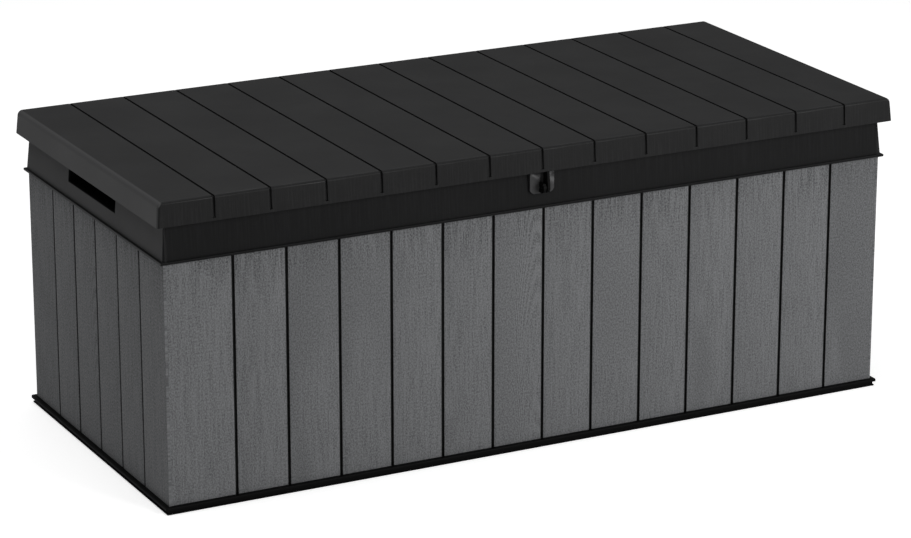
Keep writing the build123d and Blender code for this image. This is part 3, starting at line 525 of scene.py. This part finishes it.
def makeResin(name, values, common):
    material, tree, shader = newMaterial(name)
    worn, place = addScuff(tree, common["scuffSize"], values["wear"])
    skin = placeGroup(tree, mouldSkin, **{"Streak Scale": values["scale"]})
    tree.links.new(place["Object"], skin.inputs["Vector"])
    tree.links.new(place["Normal"], skin.inputs["Normal"])
    get = skin.outputs
    # painted shade: front and rear faces darker than the rest by the way they face, with real mould streaks
    # on top
    frontShadeAndStreaks = addMath(tree, "MULTIPLY", get["Front Face"], values["frontShade"])
    frontShadeAndStreaks = addMath(tree, "MULTIPLY_ADD", get["Streak"], values["streaks"], frontShadeAndStreaks, clamp=True)
    colour = addColourMix(tree, frontShadeAndStreaks, values["base"], tuple(v * common["shade"] for v in values["base"]))
    # painted sheen on end faces and a painted highlight along turned top edges, in the paler colour
    for side, boost in (("End Face", "endBoost"), ("Turned Edge", "edgeBoost")):
        paintedSheen = addMath(tree, "MULTIPLY", get[side], values[boost])
        colour = addColourMix(tree, paintedSheen, colour, values["pale"])
    colour = addColourMix(tree, worn, colour, values["pale"])
    # painted shade in the grooves
    colour = addColourMix(tree, paintedGrooveShade(tree), colour, plankFinish["groove"])
    tree.links.new(colour, shader.inputs["Base Color"])
    tree.links.new(addRange(tree, get["Mottle"], 0.3, 0.7, values["roughness"] - common["smoother"],
                            values["roughness"] + common["rougher"]), shader.inputs["Roughness"])
    shader.inputs["Specular IOR Level"].default_value = values["specular"]
    addBump(tree, shader, get["Height"], values["bump"], common["bumpDepth"])
    return material


metalCommon = {
    "marksPerMetre": 700.0,
    "scuffSize": 60.0,
    "wear": 0.8,
    "smoother": 0.05,
    "rougher": 0.1,
    "bump": 0.1,
    "bumpDepth": 0.0002,
}
metalFinishes = {
    "zincSteel": {"base": (0.52, 0.52, 0.54), "worn": (0.33, 0.33, 0.34), "metal": 1.0, "roughness": 0.34},
    "brightRod": {"base": (0.66, 0.66, 0.68), "worn": (0.5, 0.5, 0.52), "metal": 1.0, "roughness": 0.14},
    "blackSteel": {
        "base": (0.016, 0.016, 0.017), "worn": (0.05, 0.05, 0.05), "metal": 0.0, "roughness": 0.36,
    },
}


def makeMetal(name, values, common):
    material, tree, shader = newMaterial(name)
    worn, place = addScuff(tree, common["scuffSize"], common["wear"])
    marks = addNoise(tree, place["Object"], common["marksPerMetre"], 3.0, 0.6)
    tree.links.new(addColourMix(tree, worn, values["base"], values["worn"]), shader.inputs["Base Color"])
    tree.links.new(addRange(tree, marks, 0.3, 0.7, values["roughness"] - common["smoother"],
                            values["roughness"] + common["rougher"]), shader.inputs["Roughness"])
    shader.inputs["Metallic"].default_value = values["metal"]
    addBump(tree, shader, marks, common["bump"], common["bumpDepth"])
    return material


materials = {"plankResin": makePlankResin(plankFinish)}
for finishName, finishValues in resinFinishes.items():
    materials[finishName] = makeResin(finishName, finishValues, resinCommon)
for finishName, finishValues in metalFinishes.items():
    materials[finishName] = makeMetal(finishName, finishValues, metalCommon)
print("finishes are made:", ", ".join(materials))


# mesh helpers

easeSetup = {
    "segments": 2,
    "sharp": 28.0,  # degrees between two faces at an edge that is eased
    "crease": 30.0,
    "flatWithin": 0.4,
    "mergeWithin": 1e-6,
}


def meshObject(name, mesh, material):
    mesh.materials.clear()
    mesh.materials.append(material)
    piece = bpy.data.objects.new(name, mesh)
    scene.collection.objects.link(piece)
    return piece


def mergedCopy(nodeName):
    work = bmesh.new()
    work.from_mesh(nodes[nodeName].data)
    bmesh.ops.remove_doubles(work, verts=work.verts, dist=easeSetup["mergeWithin"])
    return work


def roundLongEdges(work, width, shortest):
    bmesh.ops.dissolve_limit(work, angle_limit=math.radians(easeSetup["flatWithin"]),
                             verts=work.verts, edges=work.edges)
    sharp = math.radians(easeSetup["sharp"])
    chosen = [
        e for e in work.edges
        if len(e.link_faces) == 2 and e.calc_length() > shortest and e.calc_face_angle(0) > sharp
    ]
    if chosen:
        bmesh.ops.bevel(work, geom=chosen, offset=width, segments=easeSetup["segments"], profile=0.5,
                        affect="EDGES", clamp_overlap=False)


def finishMesh(work, name, flat=False):
    bmesh.ops.triangulate(work, faces=[f for f in work.faces if len(f.verts) > 4])
    mesh = bpy.data.meshes.new(name)
    work.to_mesh(mesh)
    work.free()
    mesh.polygons.foreach_set("use_smooth", [not flat] * len(mesh.polygons))
    if not flat:
        mesh.set_sharp_from_angle(angle=math.radians(easeSetup["crease"]))
    return mesh


def bakeModifier(carrier, name):
    # keeps what the carrier's modifiers make as a plain mesh, and removes the carrier
    bpy.context.view_layer.update()
    ready = carrier.evaluated_get(bpy.context.evaluated_depsgraph_get())
    mesh = bpy.data.meshes.new_from_object(ready)
    mesh.name = name
    carrier.modifiers.clear()
    bpy.data.objects.remove(carrier)
    return mesh


def evenShading(mesh):
    # large flat faces keep their own normals, and the eased edges turn between them
    carrier = bpy.data.objects.new(mesh.name + "Maker", mesh)
    scene.collection.objects.link(carrier)
    weigh = carrier.modifiers.new("weigh", "WEIGHTED_NORMAL")
    weigh.keep_sharp = True
    weigh.weight = 100
    return bakeModifier(carrier, mesh.name)


def softenedPiece(nodeName, name, body, material, width, shortest, slotName):
    work = mergedCopy(nodeName)
    roundLongEdges(work, width, shortest)
    piece = meshObject(name, evenShading(finishMesh(work, name)), material)
    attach(piece, body)
    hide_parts(nodeName)
    return piece


# geometry tree helpers

def geometryTree(name, inputs):
    flow = ("Geometry", "NodeSocketGeometry")
    tree, start, end = newTree(name, "GeometryNodeTree", (flow, *inputs), (flow,))
    tree.is_modifier = True
    return tree, start, end


def geometryChoice(tree, index, values):
    node = tree.nodes.new("GeometryNodeIndexSwitch")
    node.data_type = "FLOAT"
    while len(node.index_switch_items) < len(values):
        node.index_switch_items.new()
    tree.links.new(index, node.inputs["Index"])
    for slot, value in zip(list(node.inputs)[1:], values):
        feed(tree, slot, value)
    return node.outputs[0]


def herePosition(tree):
    return splitVector(tree, tree.nodes.new("GeometryNodeInputPosition").outputs[0])


def setPosition(tree, geometry, position, chosen=None):
    node = tree.nodes.new("GeometryNodeSetPosition")
    tree.links.new(geometry, node.inputs["Geometry"])
    tree.links.new(position, node.inputs["Position"])
    if chosen is not None:
        tree.links.new(chosen, node.inputs["Selection"])
    return node.outputs[0]


def storeValue(tree, geometry, name, kind, value):
    node = tree.nodes.new("GeometryNodeStoreNamedAttribute")
    node.data_type = kind
    node.domain = "POINT"
    node.inputs["Name"].default_value = name
    tree.links.new(geometry, node.inputs["Geometry"])
    tree.links.new(value, node.inputs["Value"])
    return node.outputs[0]


def joinAll(tree, pieces):
    node = tree.nodes.new("GeometryNodeJoinGeometry")
    for piece in pieces:
        tree.links.new(piece, node.inputs[0])
    return node.outputs[0]


def randomUpTo(tree, highest, seed):
    node = tree.nodes.new("FunctionNodeRandomValue")
    node.data_type = "FLOAT"
    node.inputs[2].default_value = 0.0
    node.inputs[3].default_value = highest
    tree.links.new(seed, node.inputs["Seed"])
    return node


def endTree(tree, geometry, finish, end):
    real = tree.nodes.new("GeometryNodeRealizeInstances")
    tree.links.new(geometry, real.inputs["Geometry"])
    paint = tree.nodes.new("GeometryNodeSetMaterial")
    tree.links.new(real.outputs[0], paint.inputs["Geometry"])
    tree.links.new(finish, paint.inputs["Material"])
    tree.links.new(paint.outputs[0], end.inputs["Geometry"])


def socketKey(tree, name):
    return next(item.identifier for item in tree.interface.items_tree
                if item.item_type == "SOCKET" and item.in_out == "INPUT" and item.name == name)


def bakeTree(name, tree, values, source=None):
    # runs the tree once and keeps the plain mesh
    carrier = bpy.data.objects.new(name + "Maker", source or bpy.data.meshes.new(name + "Maker"))
    scene.collection.objects.link(carrier)
    modifier = carrier.modifiers.new("maker", "NODES")
    modifier.node_group = tree
    for key, value in values.items():
        modifier[socketKey(tree, key)] = value
    carrier.update_tag()
    return bakeModifier(carrier, name)


# planked wall skins, by Geometry Nodes

plankWalls = {
    "planks": {"front": 14, "side": 6},
    "firstPlank": {"front": 0.1267, "side": 0.1172},
    "lastPlank": {"front": 0.1033, "side": 0.1074},
    "grooveWidth": 0.0052,
    "grooveDepth": 0.0040,
    "edgeRound": 0.0012,
    "skin": 0.0046,
    "rows": 28,
    "unevenness": 0.00025,
    "extrude": 0.001,
    "mergeWithin": 0.000002,
    "crease": 35,
    "seed": 5,
}
grooveProfile = {
    "columns": 8.0,
    "floorHalf": 0.78,  # of half the groove's width
    "lipOut": 0.35,  # of the edge's rounding
    "lipDown": 0.2,
    "wallDown": 0.8,
}


def grooveShape(tree, get, fromMiddle):
    # how far a column stands from its groove's middle, and how deep it lies
    ringNumber = addMath(tree, "SUBTRACT", addMath(tree, "ABSOLUTE", fromMiddle), 0.5)
    half = addMath(tree, "MULTIPLY", get["Groove Width"], 0.5)
    rounding = get["Edge Round"]
    reach = geometryChoice(tree, ringNumber, (
        addMath(tree, "MULTIPLY", half, grooveProfile["floorHalf"]),
        half,
        addMath(tree, "MULTIPLY_ADD", rounding, grooveProfile["lipOut"], half),
        addMath(tree, "ADD", half, rounding),
    ))
    sink = geometryChoice(tree, ringNumber, (
        get["Groove Depth"],
        addMath(tree, "MULTIPLY", rounding, grooveProfile["wallDown"]),
        addMath(tree, "MULTIPLY", rounding, grooveProfile["lipDown"]),
        0.0,
    ))
    return reach, sink


def panelPlaces(tree, get, columns):
    # each groove has its columns of points, and one more column stands at each end of the panel
    perGroove = grooveProfile["columns"]
    index = tree.nodes.new("GeometryNodeInputIndex").outputs[0]
    column = addMath(tree, "FLOOR", addMath(tree, "DIVIDE", addMath(tree, "ADD", index, 0.5), get["Rows"]))
    row = addMath(tree, "SUBTRACT", index, addMath(tree, "MULTIPLY", column, get["Rows"]))
    shifted = addMath(tree, "SUBTRACT", column, 1.0)
    groove = addMath(tree, "FLOOR", addMath(tree, "DIVIDE", addMath(tree, "ADD", shifted, 0.5), perGroove))
    step = addMath(tree, "SUBTRACT", shifted, addMath(tree, "MULTIPLY", groove, perGroove))
    fromMiddle = addMath(tree, "SUBTRACT", step, (perGroove - 1.0) / 2)
    reach, sink = grooveShape(tree, get, fromMiddle)
    lowEnd = addMath(tree, "MULTIPLY", get["Length"], -0.5)
    room = addMath(tree, "SUBTRACT", addMath(tree, "SUBTRACT", get["Length"], get["First Plank"]),
                   get["Last Plank"])
    pitch = addMath(tree, "DIVIDE", room, addMath(tree, "SUBTRACT", get["Planks"], 2.0))
    grooveAt = addMath(tree, "MULTIPLY_ADD", groove, pitch, addMath(tree, "ADD", lowEnd, get["First Plank"]))
    placed = addMath(tree, "MULTIPLY_ADD", addMath(tree, "SIGN", fromMiddle), reach, grooveAt)
    isFirst = addMath(tree, "LESS_THAN", column, 0.5)
    isLast = addMath(tree, "GREATER_THAN", column, addMath(tree, "SUBTRACT", columns, 1.5))
    isEnd = addMath(tree, "ADD", isFirst, isLast)
    endAt = addMath(tree, "MULTIPLY_ADD", isLast, get["Length"], lowEnd)
    keep = addMath(tree, "SUBTRACT", 1.0, isEnd)
    across = addMath(tree, "ADD", addMath(tree, "MULTIPLY", placed, keep),
                     addMath(tree, "MULTIPLY", endAt, isEnd))
    plank = addMath(tree, "ADD", groove, addMath(tree, "GREATER_THAN", fromMiddle, 0.0))
    rise = addMath(tree, "DIVIDE", row, addMath(tree, "SUBTRACT", get["Rows"], 1.0))
    return across, addMath(tree, "MULTIPLY", rise, get["Height"]), plank, sink, keep


def closeBehind(tree, sheet, skin):
    # a flat back, so that the skin is a closed sheet
    back = tree.nodes.new("GeometryNodeExtrudeMesh")
    back.inputs["Individual"].default_value = False
    tree.links.new(sheet, back.inputs["Mesh"])
    back.inputs["Offset"].default_value = (0, 1, 0)
    back.inputs["Offset Scale"].default_value = plankWalls["extrude"]
    here = herePosition(tree)
    flat = setPosition(tree, back.outputs["Mesh"], addVector(tree, here["X"], skin, here["Z"]),
                       back.outputs["Top"])
    turn = tree.nodes.new("GeometryNodeFlipFaces")
    tree.links.new(flat, turn.inputs["Mesh"])
    merge = tree.nodes.new("GeometryNodeMergeByDistance")
    merge.inputs["Distance"].default_value = plankWalls["mergeWithin"]
    tree.links.new(joinAll(tree, (turn.outputs[0], sheet)), merge.inputs["Geometry"])
    return merge.outputs[0]


def buildPlankPanel():
    tree, start, end = geometryTree("plankPanel", (
        ("Length", "NodeSocketFloat", 1.4),
        ("Height", "NodeSocketFloat", 0.43),
        ("Planks", "NodeSocketInt", 14),
        ("First Plank", "NodeSocketFloat", 0.12),
        ("Last Plank", "NodeSocketFloat", 0.10),
        ("Groove Width", "NodeSocketFloat", 0.005),
        ("Groove Depth", "NodeSocketFloat", 0.004),
        ("Edge Round", "NodeSocketFloat", 0.001),
        ("Skin", "NodeSocketFloat", 0.0046),
        ("Rows", "NodeSocketInt", 28),
        ("Seed", "NodeSocketInt", 3),
        ("Finish", "NodeSocketMaterial"),
    ))
    get = start.outputs
    grooves = addMath(tree, "SUBTRACT", get["Planks"], 1.0)
    columns = addMath(tree, "MULTIPLY_ADD", grooves, grooveProfile["columns"], 2.0)
    sheet = tree.nodes.new("GeometryNodeMeshGrid")
    tree.links.new(columns, sheet.inputs["Vertices X"])
    tree.links.new(get["Rows"], sheet.inputs["Vertices Y"])
    across, up, plank, sink, keep = panelPlaces(tree, get, columns)
    # each board stands a hair's breadth in or out of its neighbours
    dice = randomUpTo(tree, plankWalls["unevenness"], get["Seed"])
    tree.links.new(plank, dice.inputs["ID"])
    depth = addMath(tree, "MULTIPLY_ADD", sink, keep, dice.outputs[1])
    placed = setPosition(tree, sheet.outputs["Mesh"], addVector(tree, across, depth, up))
    # the coordinates that the grain follows
    marked = storeValue(tree, placed, "plankPlace", "FLOAT_VECTOR", addVector(tree, across, plank, up))
    # how deep each point lies in its groove, which sets the grooves' painted shade
    share = addMath(tree, "MULTIPLY", addMath(tree, "DIVIDE", sink, get["Groove Depth"]), keep)
    marked = storeValue(tree, marked, "grooveDepth", "FLOAT", share)
    endTree(tree, closeBehind(tree, marked, get["Skin"]), get["Finish"], end)
    return tree


plankPanel = buildPlankPanel()
wallTurns = {"front": 0.0, "rear": 180.0, "left": -90.0, "right": 90.0}
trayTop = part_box("floor_tray")[1].z
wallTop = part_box("front_collar")[0].z
wallLow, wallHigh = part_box("left_wall")[0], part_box("right_wall")[1]


def innerHalf(nodeName, outward, skin):
    # the wall's structure behind its planked skin: ribs, rails, tongue and pegs
    work = mergedCopy(nodeName)
    face = Vector((abs(outward.x) * wallHigh.x, abs(outward.y) * wallHigh.y, 0))
    cut = outward * ((face.x + face.y) - skin)
    found = bmesh.ops.bisect_plane(work, geom=work.verts[:] + work.edges[:] + work.faces[:],
                                   dist=easeSetup["mergeWithin"], plane_co=cut, plane_no=outward,
                                   clear_outer=True)
    rim = [g for g in found["geom_cut"] if isinstance(g, bmesh.types.BMEdge)]
    bmesh.ops.triangle_fill(work, edges=rim, use_beauty=True, use_dissolve=False)
    bmesh.ops.recalc_face_normals(work, faces=work.faces)
    return finishMesh(work, nodeName + "Inner", flat=True)


for sideName, turnDegrees in wallTurns.items():
    isLong = sideName in ("front", "rear")
    kind = "front" if isLong else "side"
    nodeName = sideName + "_wall"
    low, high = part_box(nodeName)
    length = (high.x - low.x) if isLong else (high.y - low.y)
    overall = (wallHigh.x - wallLow.x) if isLong else length
    trim = (overall - length) / 2
    skinMesh = bakeTree(sideName + "Planks", plankPanel, {
        "Length": length,
        "Height": wallTop - trayTop,
        "Planks": plankWalls["planks"][kind],
        "First Plank": plankWalls["firstPlank"][kind] - trim,
        "Last Plank": plankWalls["lastPlank"][kind] - trim,
        "Groove Width": plankWalls["grooveWidth"],
        "Groove Depth": plankWalls["grooveDepth"],
        "Edge Round": plankWalls["edgeRound"],
        "Skin": plankWalls["skin"],
        "Rows": plankWalls["rows"],
        "Seed": plankWalls["seed"] + len(sideName),
        "Finish": materials["plankResin"],
    })
    angle = math.radians(turnDegrees)
    outward = Matrix.Rotation(angle, 3, "Z") @ Vector((0, -1, 0))
    faceOut = wallHigh.y if isLong else wallHigh.x
    moved = Matrix.Translation(outward * faceOut + Vector((0, 0, trayTop)))
    skinMesh.transform(moved @ Matrix.Rotation(angle, 4, "Z"))
    skinMesh.set_sharp_from_angle(angle=math.radians(plankWalls["crease"]))
    skinPiece = bpy.data.objects.new(sideName + "Planks", skinMesh)
    scene.collection.objects.link(skinPiece)
    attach(skinPiece, "box")
    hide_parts(nodeName)
    innerPiece = meshObject(sideName + "WallInner", innerHalf(nodeName, outward, plankWalls["skin"]),
                            materials["linerResin"])
    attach(innerPiece, "box")
    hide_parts(nodeName)
print("planked walls are made")


# moulded pieces with eased edges

# node, piece, body, finish, easing, shortest edge that is eased, slot
easedPieces = (
    ("lid_shell", "lidShell", "lid", "lidResin", 0.0011, 0.0030, "lid"),
    ("front_collar", "frontCollar", "box", "collarResin", 0.0008, 0.02, "collar"),
    ("rear_collar", "rearCollar", "box", "collarResin", 0.0008, 0.02, "collar"),
    ("left_collar", "leftCollar", "box", "collarResin", 0.0008, 0.02, "collar"),
    ("right_collar", "rightCollar", "box", "collarResin", 0.0008, 0.02, "collar"),
    ("left_grip", "leftGrip", "box", "trayResin", 0.0006, 0.02, "collar"),
    ("right_grip", "rightGrip", "box", "trayResin", 0.0006, 0.02, "collar"),
    ("floor_tray", "floorTray", "box", "trayResin", 0.0006, 0.02, "tray"),
    ("lock_plate", "lockPlate", "box", "lockResin", 0.0005, 0.004, "lock_fitting"),
    ("lid_lug", "lidLug", "lid", "trayResin", 0.0005, 0.004, "lock_fitting"),
)
softened = {}
for nodeName, name, body, finishName, width, shortest, slotName in easedPieces:
    softened[name] = softenedPiece(nodeName, name, body, materials[finishName], width, shortest, slotName)

lidGrooves = {
    "planks": 14,
    "halfWidth": 0.0029,
    "deepest": 0.0042,
    "lip": 0.0004,
    "draft": 0.0035,
    "endWeb": (0.0048, 0.0060, 0.0036),  # the web that closes each groove at the rear: along, across, down
    "endInset": 0.0025,
    "endSink": 0.0007,
}


def markLidGrooves(mesh, values):
    # faces down in the lid's grooves carry 1 for the grooves' painted shade, all others 0
    low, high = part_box("lid_shell")
    pitch = (high.x - low.x) / values["planks"]
    marks = mesh.attributes.new("grooveDepth", "FLOAT", "FACE")
    for face in mesh.polygons:
        centre = face.center
        beside = (centre.x - low.x) / pitch
        number = round(beside)
        if abs(beside - number) * pitch > values["halfWidth"] or not 0 < number < values["planks"]:
            continue
        rise = (centre.z - low.z) / (high.z - low.z)
        outer = high.y - values["draft"] * rise
        down = min(high.z - centre.z, outer - abs(centre.y))
        if values["lip"] < down < values["deepest"]:
            marks.data[face.index].value = 1.0


def closeLidGrooves(mesh, values):
    # a small web at the rear end of each groove, a little below the boards, dark with the grooves' painted
    # shade
    low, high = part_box("lid_shell")
    pitch = (high.x - low.x) / values["planks"]
    work = bmesh.new()
    work.from_mesh(mesh)
    depth = work.faces.layers.float["grooveDepth"]
    wide, across, down = values["endWeb"]
    for number in range(1, values["planks"]):
        middle = Vector((low.x + pitch * number, high.y - values["draft"] - across / 2 - values["endInset"],
                         high.z - values["endSink"] - down / 2))
        made = bmesh.ops.create_cube(work, size=1.0)
        bmesh.ops.scale(work, vec=Vector((wide, across, down)), verts=made["verts"])
        bmesh.ops.translate(work, vec=middle, verts=made["verts"])
        for face in {f for v in made["verts"] for f in v.link_faces}:
            face[depth] = 1.0
    work.to_mesh(mesh)
    work.free()


def darkenLug(mesh, standsOut):
    # the lug on the lock plate is darker than the plate behind it
    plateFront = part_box("front_wall")[0].y - standsOut
    mesh.materials.append(materials["trayResin"])
    for face in mesh.polygons:
        face.material_index = 1 if face.center.y < plateFront else 0


lockPlateDepth = 0.0045
markLidGrooves(softened["lidShell"].data, lidGrooves)
closeLidGrooves(softened["lidShell"].data, lidGrooves)
darkenLug(softened["lockPlate"].data, lockPlateDepth)
print("moulded pieces are made")


# pan-head screws, by Geometry Nodes

screwSet = {
    "headRadius": 0.0042,
    "headHeight": 0.0024,
    "headRings": 8,
    "domeFrom": 0.35,  # share of the head's height where its dome starts
    "domeFall": 0.72,
    "shaftRadius": 0.0020,
    "shaftSides": 12,
    "crossWidth": 0.0009,
    "crossReach": 0.0024,
    "crossDepth": 0.0014,
    "sides": 28,
    "crease": 32,
    "seed": 11,
    "tipDrop": {"lid_leaf_screws": 0.0025},  # these stop below the grooves in the lid
}
screwBodies = {
    "collar_screws": "box",
    "corner_screws": "box",
    "fixed_leaf_screws": "box",
    "wall_bracket_screws": "box",
    "liner_screws": "lid",
    "lid_leaf_screws": "lid",
    "lid_bracket_screws": "lid",
    "lug_screws": "lid",
}


def raised(tree, geometry, z):
    shift = tree.nodes.new("GeometryNodeTransform")
    tree.links.new(geometry, shift.inputs["Geometry"])
    tree.links.new(addVector(tree, 0.0, 0.0, z), shift.inputs["Translation"])
    return shift.outputs[0]


def addCylinder(tree, radius, depth):
    node = tree.nodes.new("GeometryNodeMeshCylinder")
    node.fill_type = "NGON"
    tree.links.new(radius, node.inputs["Radius"])
    tree.links.new(depth, node.inputs["Depth"])
    return node


def domedHead(tree, get):
    # a short cylinder whose top rings fall away into a low dome
    head = addCylinder(tree, get["Head Radius"], get["Head Height"])
    tree.links.new(get["Sides"], head.inputs["Vertices"])
    head.inputs["Side Segments"].default_value = screwSet["headRings"]
    here = herePosition(tree)
    domeFrom = screwSet["domeFrom"]
    level = addMath(tree, "ADD", addMath(tree, "DIVIDE", here["Z"], get["Head Height"]), 0.5)
    over = addMath(tree, "DIVIDE", addMath(tree, "SUBTRACT", level, domeFrom), 1.0 - domeFrom)
    over = addMath(tree, "MAXIMUM", over, 0.0)
    fall = addMath(tree, "MULTIPLY", addMath(tree, "MULTIPLY", over, over), screwSet["domeFall"])
    pull = addMath(tree, "SQRT", addMath(tree, "MAXIMUM", addMath(tree, "SUBTRACT", 1.0, fall), 0.0))
    domed = addVector(tree, addMath(tree, "MULTIPLY", here["X"], pull),
                      addMath(tree, "MULTIPLY", here["Y"], pull), here["Z"])
    head = setPosition(tree, head.outputs["Mesh"], domed)
    return raised(tree, head, addMath(tree, "MULTIPLY", get["Head Height"], 0.5))


def crossRecess(tree, get, head):
    deep = addMath(tree, "MULTIPLY", get["Cross Depth"], 2.0)
    reach = addMath(tree, "MULTIPLY", get["Cross Reach"], 2.0)
    arms = []
    for x, y in ((reach, get["Cross Width"]), (get["Cross Width"], reach)):
        arm = tree.nodes.new("GeometryNodeMeshCube")
        tree.links.new(addVector(tree, x, y, deep), arm.inputs["Size"])
        arms.append(raised(tree, arm.outputs["Mesh"], get["Head Height"]))
    carve = tree.nodes.new("GeometryNodeMeshBoolean")
    carve.operation = "DIFFERENCE"
    carve.solver = "EXACT"
    for socket in carve.inputs:
        if socket.name.startswith("Self"):  # the two arms overlap each other
            socket.default_value = True
    tree.links.new(head, carve.inputs["Mesh 1"])
    tree.links.new(joinAll(tree, arms), carve.inputs["Mesh 2"])
    return carve.outputs["Mesh"]


def standOnSeats(tree, get, screw):
    # one screw on each seat, turned to face out of it, with its cross at its own angle
    facing = tree.nodes.new("GeometryNodeInputNamedAttribute")
    facing.data_type = "FLOAT_VECTOR"
    facing.inputs["Name"].default_value = "seatOut"
    align = tree.nodes.new("FunctionNodeAlignRotationToVector")
    align.axis = "Z"
    tree.links.new(facing.outputs["Attribute"], align.inputs["Vector"])
    dice = randomUpTo(tree, math.pi / 2, get["Seed"])
    spin = tree.nodes.new("FunctionNodeRotateRotation")
    spin.rotation_space = "LOCAL"
    tree.links.new(align.outputs[0], spin.inputs["Rotation"])
    tree.links.new(addVector(tree, 0.0, 0.0, dice.outputs[1]), spin.inputs["Rotate By"])
    place = tree.nodes.new("GeometryNodeInstanceOnPoints")
    tree.links.new(get["Geometry"], place.inputs["Points"])
    tree.links.new(screw, place.inputs["Instance"])
    tree.links.new(spin.outputs[0], place.inputs["Rotation"])
    return place.outputs[0]


def buildScrewTree():
    tree, start, end = geometryTree("panHeadScrews", (
        ("Head Radius", "NodeSocketFloat", 0.0042),
        ("Head Height", "NodeSocketFloat", 0.0024),
        ("Shaft Radius", "NodeSocketFloat", 0.002),
        ("Shaft Length", "NodeSocketFloat", 0.012),
        ("Cross Width", "NodeSocketFloat", 0.0009),
        ("Cross Reach", "NodeSocketFloat", 0.0024),
        ("Cross Depth", "NodeSocketFloat", 0.0014),
        ("Sides", "NodeSocketInt", 28),
        ("Seed", "NodeSocketInt", 1),
        ("Finish", "NodeSocketMaterial"),
    ))
    get = start.outputs
    head = crossRecess(tree, get, domedHead(tree, get))
    # the shaft, sunk in its hole
    shaft = addCylinder(tree, get["Shaft Radius"], get["Shaft Length"])
    shaft.inputs["Vertices"].default_value = screwSet["shaftSides"]
    sunk = raised(tree, shaft.outputs["Mesh"], addMath(tree, "MULTIPLY", get["Shaft Length"], -0.5))
    endTree(tree, standOnSeats(tree, get, joinAll(tree, (head, sunk))), get["Finish"], end)
    return tree


def looseParts(work):
    # the points of each separate part of a mesh
    waiting = set(work.verts)
    while waiting:
        island, edge = set(), [waiting.pop()]
        while edge:
            vert = edge.pop()
            island.add(vert)
            for other in (e.other_vert(vert) for e in vert.link_edges):
                if other in waiting:
                    waiting.discard(other)
                    edge.append(other)
        yield [v.co.copy() for v in island]


def meanPoint(points):
    return sum(points, Vector()) / len(points)


def screwSeats(nodeName):
    # each loose screw in the node gives a seat point, the way out of it and the shaft's length
    work = mergedCopy(nodeName)
    tipReach = 2.2 * screwSet["shaftRadius"]
    sameRing = 0.0004
    seats = []
    for points in looseParts(work):
        middle = meanPoint(points)
        tip = max(points, key=lambda p: (p - middle).length)
        # the tip ring's mean and the widest ring's mean lie on the screw's axis
        foot = meanPoint([p for p in points if (p - tip).length < tipReach])
        farthest = max((q - foot).length for q in points)
        crown = meanPoint([p for p in points if (p - foot).length > farthest - sameRing])
        out = (crown - foot).normalized()
        shaft = (crown - foot).length - screwSet["headHeight"]
        seats.append((foot + out * shaft, out, shaft))
    work.free()
    seats.sort(key=lambda s: tuple(round(c, 4) for c in s[0]))
    return seats


screwTree = buildScrewTree()
for screwIndex, (nodeName, body) in enumerate(screwBodies.items()):
    seats = screwSeats(nodeName)
    spots = bpy.data.meshes.new(nodeName + "Seats")
    spots.from_pydata([s[0] for s in seats], [], [])
    ways = spots.attributes.new("seatOut", "FLOAT_VECTOR", "POINT")
    for index, seat in enumerate(seats):
        ways.data[index].vector = seat[1]
    words = nodeName.split("_")
    pieceName = words[0] + "".join(w.capitalize() for w in words[1:])
    screwMesh = bakeTree(pieceName, screwTree, {
        "Head Radius": screwSet["headRadius"],
        "Head Height": screwSet["headHeight"],
        "Shaft Radius": screwSet["shaftRadius"],
        "Shaft Length": seats[0][2] - screwSet["tipDrop"].get(nodeName, 0.0),
        "Cross Width": screwSet["crossWidth"],
        "Cross Reach": screwSet["crossReach"],
        "Cross Depth": screwSet["crossDepth"],
        "Sides": screwSet["sides"],
        "Seed": screwSet["seed"] + screwIndex,
        "Finish": materials["zincSteel"],
    }, spots)
    screwMesh.set_sharp_from_angle(angle=math.radians(screwSet["crease"]))
    screwPiece = bpy.data.objects.new(pieceName, screwMesh)
    scene.collection.objects.link(screwPiece)
    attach(screwPiece, body)
    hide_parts(nodeName)
    print(pieceName, len(seats), "screws, shaft", round(seats[0][2] / millimetre, 2), "mm")


# carried-over CAD pieces get their finishes, by the first key that is in the node's name

nodeFinishes = {
    "screws": "zincSteel",
    "hinge_pin": "zincSteel",
    "clips": "zincSteel",
    "bar": "blackSteel",
    "bracket": "blackSteel",
    "strut_tube": "blackSteel",
    "strut_cap": "trayResin",
    "strut_rod": "brightRod",
}
for nodeName, node in nodes.items():
    wanted = next((finish for key, finish in nodeFinishes.items() if key in nodeName), "linerResin")
    node.data.materials.clear()
    node.data.materials.append(materials[wanted])
print("carried-over pieces are finished")


# floor

floorSetup = {
    "reach": 30,
    "shade": 0.9,
    "roughness": 0.9,
    "glow": 0.55,  # keeps the floor white in view without lighting the box
}


def makeFloor(values):
    reach, shade = values["reach"], values["shade"]
    mesh = bpy.data.meshes.new("floor")
    corners = [(-reach, -reach, 0), (reach, -reach, 0), (reach, reach, 0), (-reach, reach, 0)]
    mesh.from_pydata(corners, [], [(0, 1, 2, 3)])
    material, tree, shader = newMaterial("studioFloor")
    shader.inputs["Base Color"].default_value = (shade, shade, shade, 1)
    shader.inputs["Roughness"].default_value = values["roughness"]
    shader.inputs["Specular IOR Level"].default_value = 0.0
    shader.inputs["Emission Color"].default_value = (1, 1, 1, 1)
    sight = tree.nodes.new("ShaderNodeLightPath")
    tree.links.new(addMath(tree, "MULTIPLY", sight.outputs["Is Camera Ray"], values["glow"]),
                   shader.inputs["Emission Strength"])
    return meshObject("floor", mesh, material)


floorPiece = makeFloor(floorSetup)
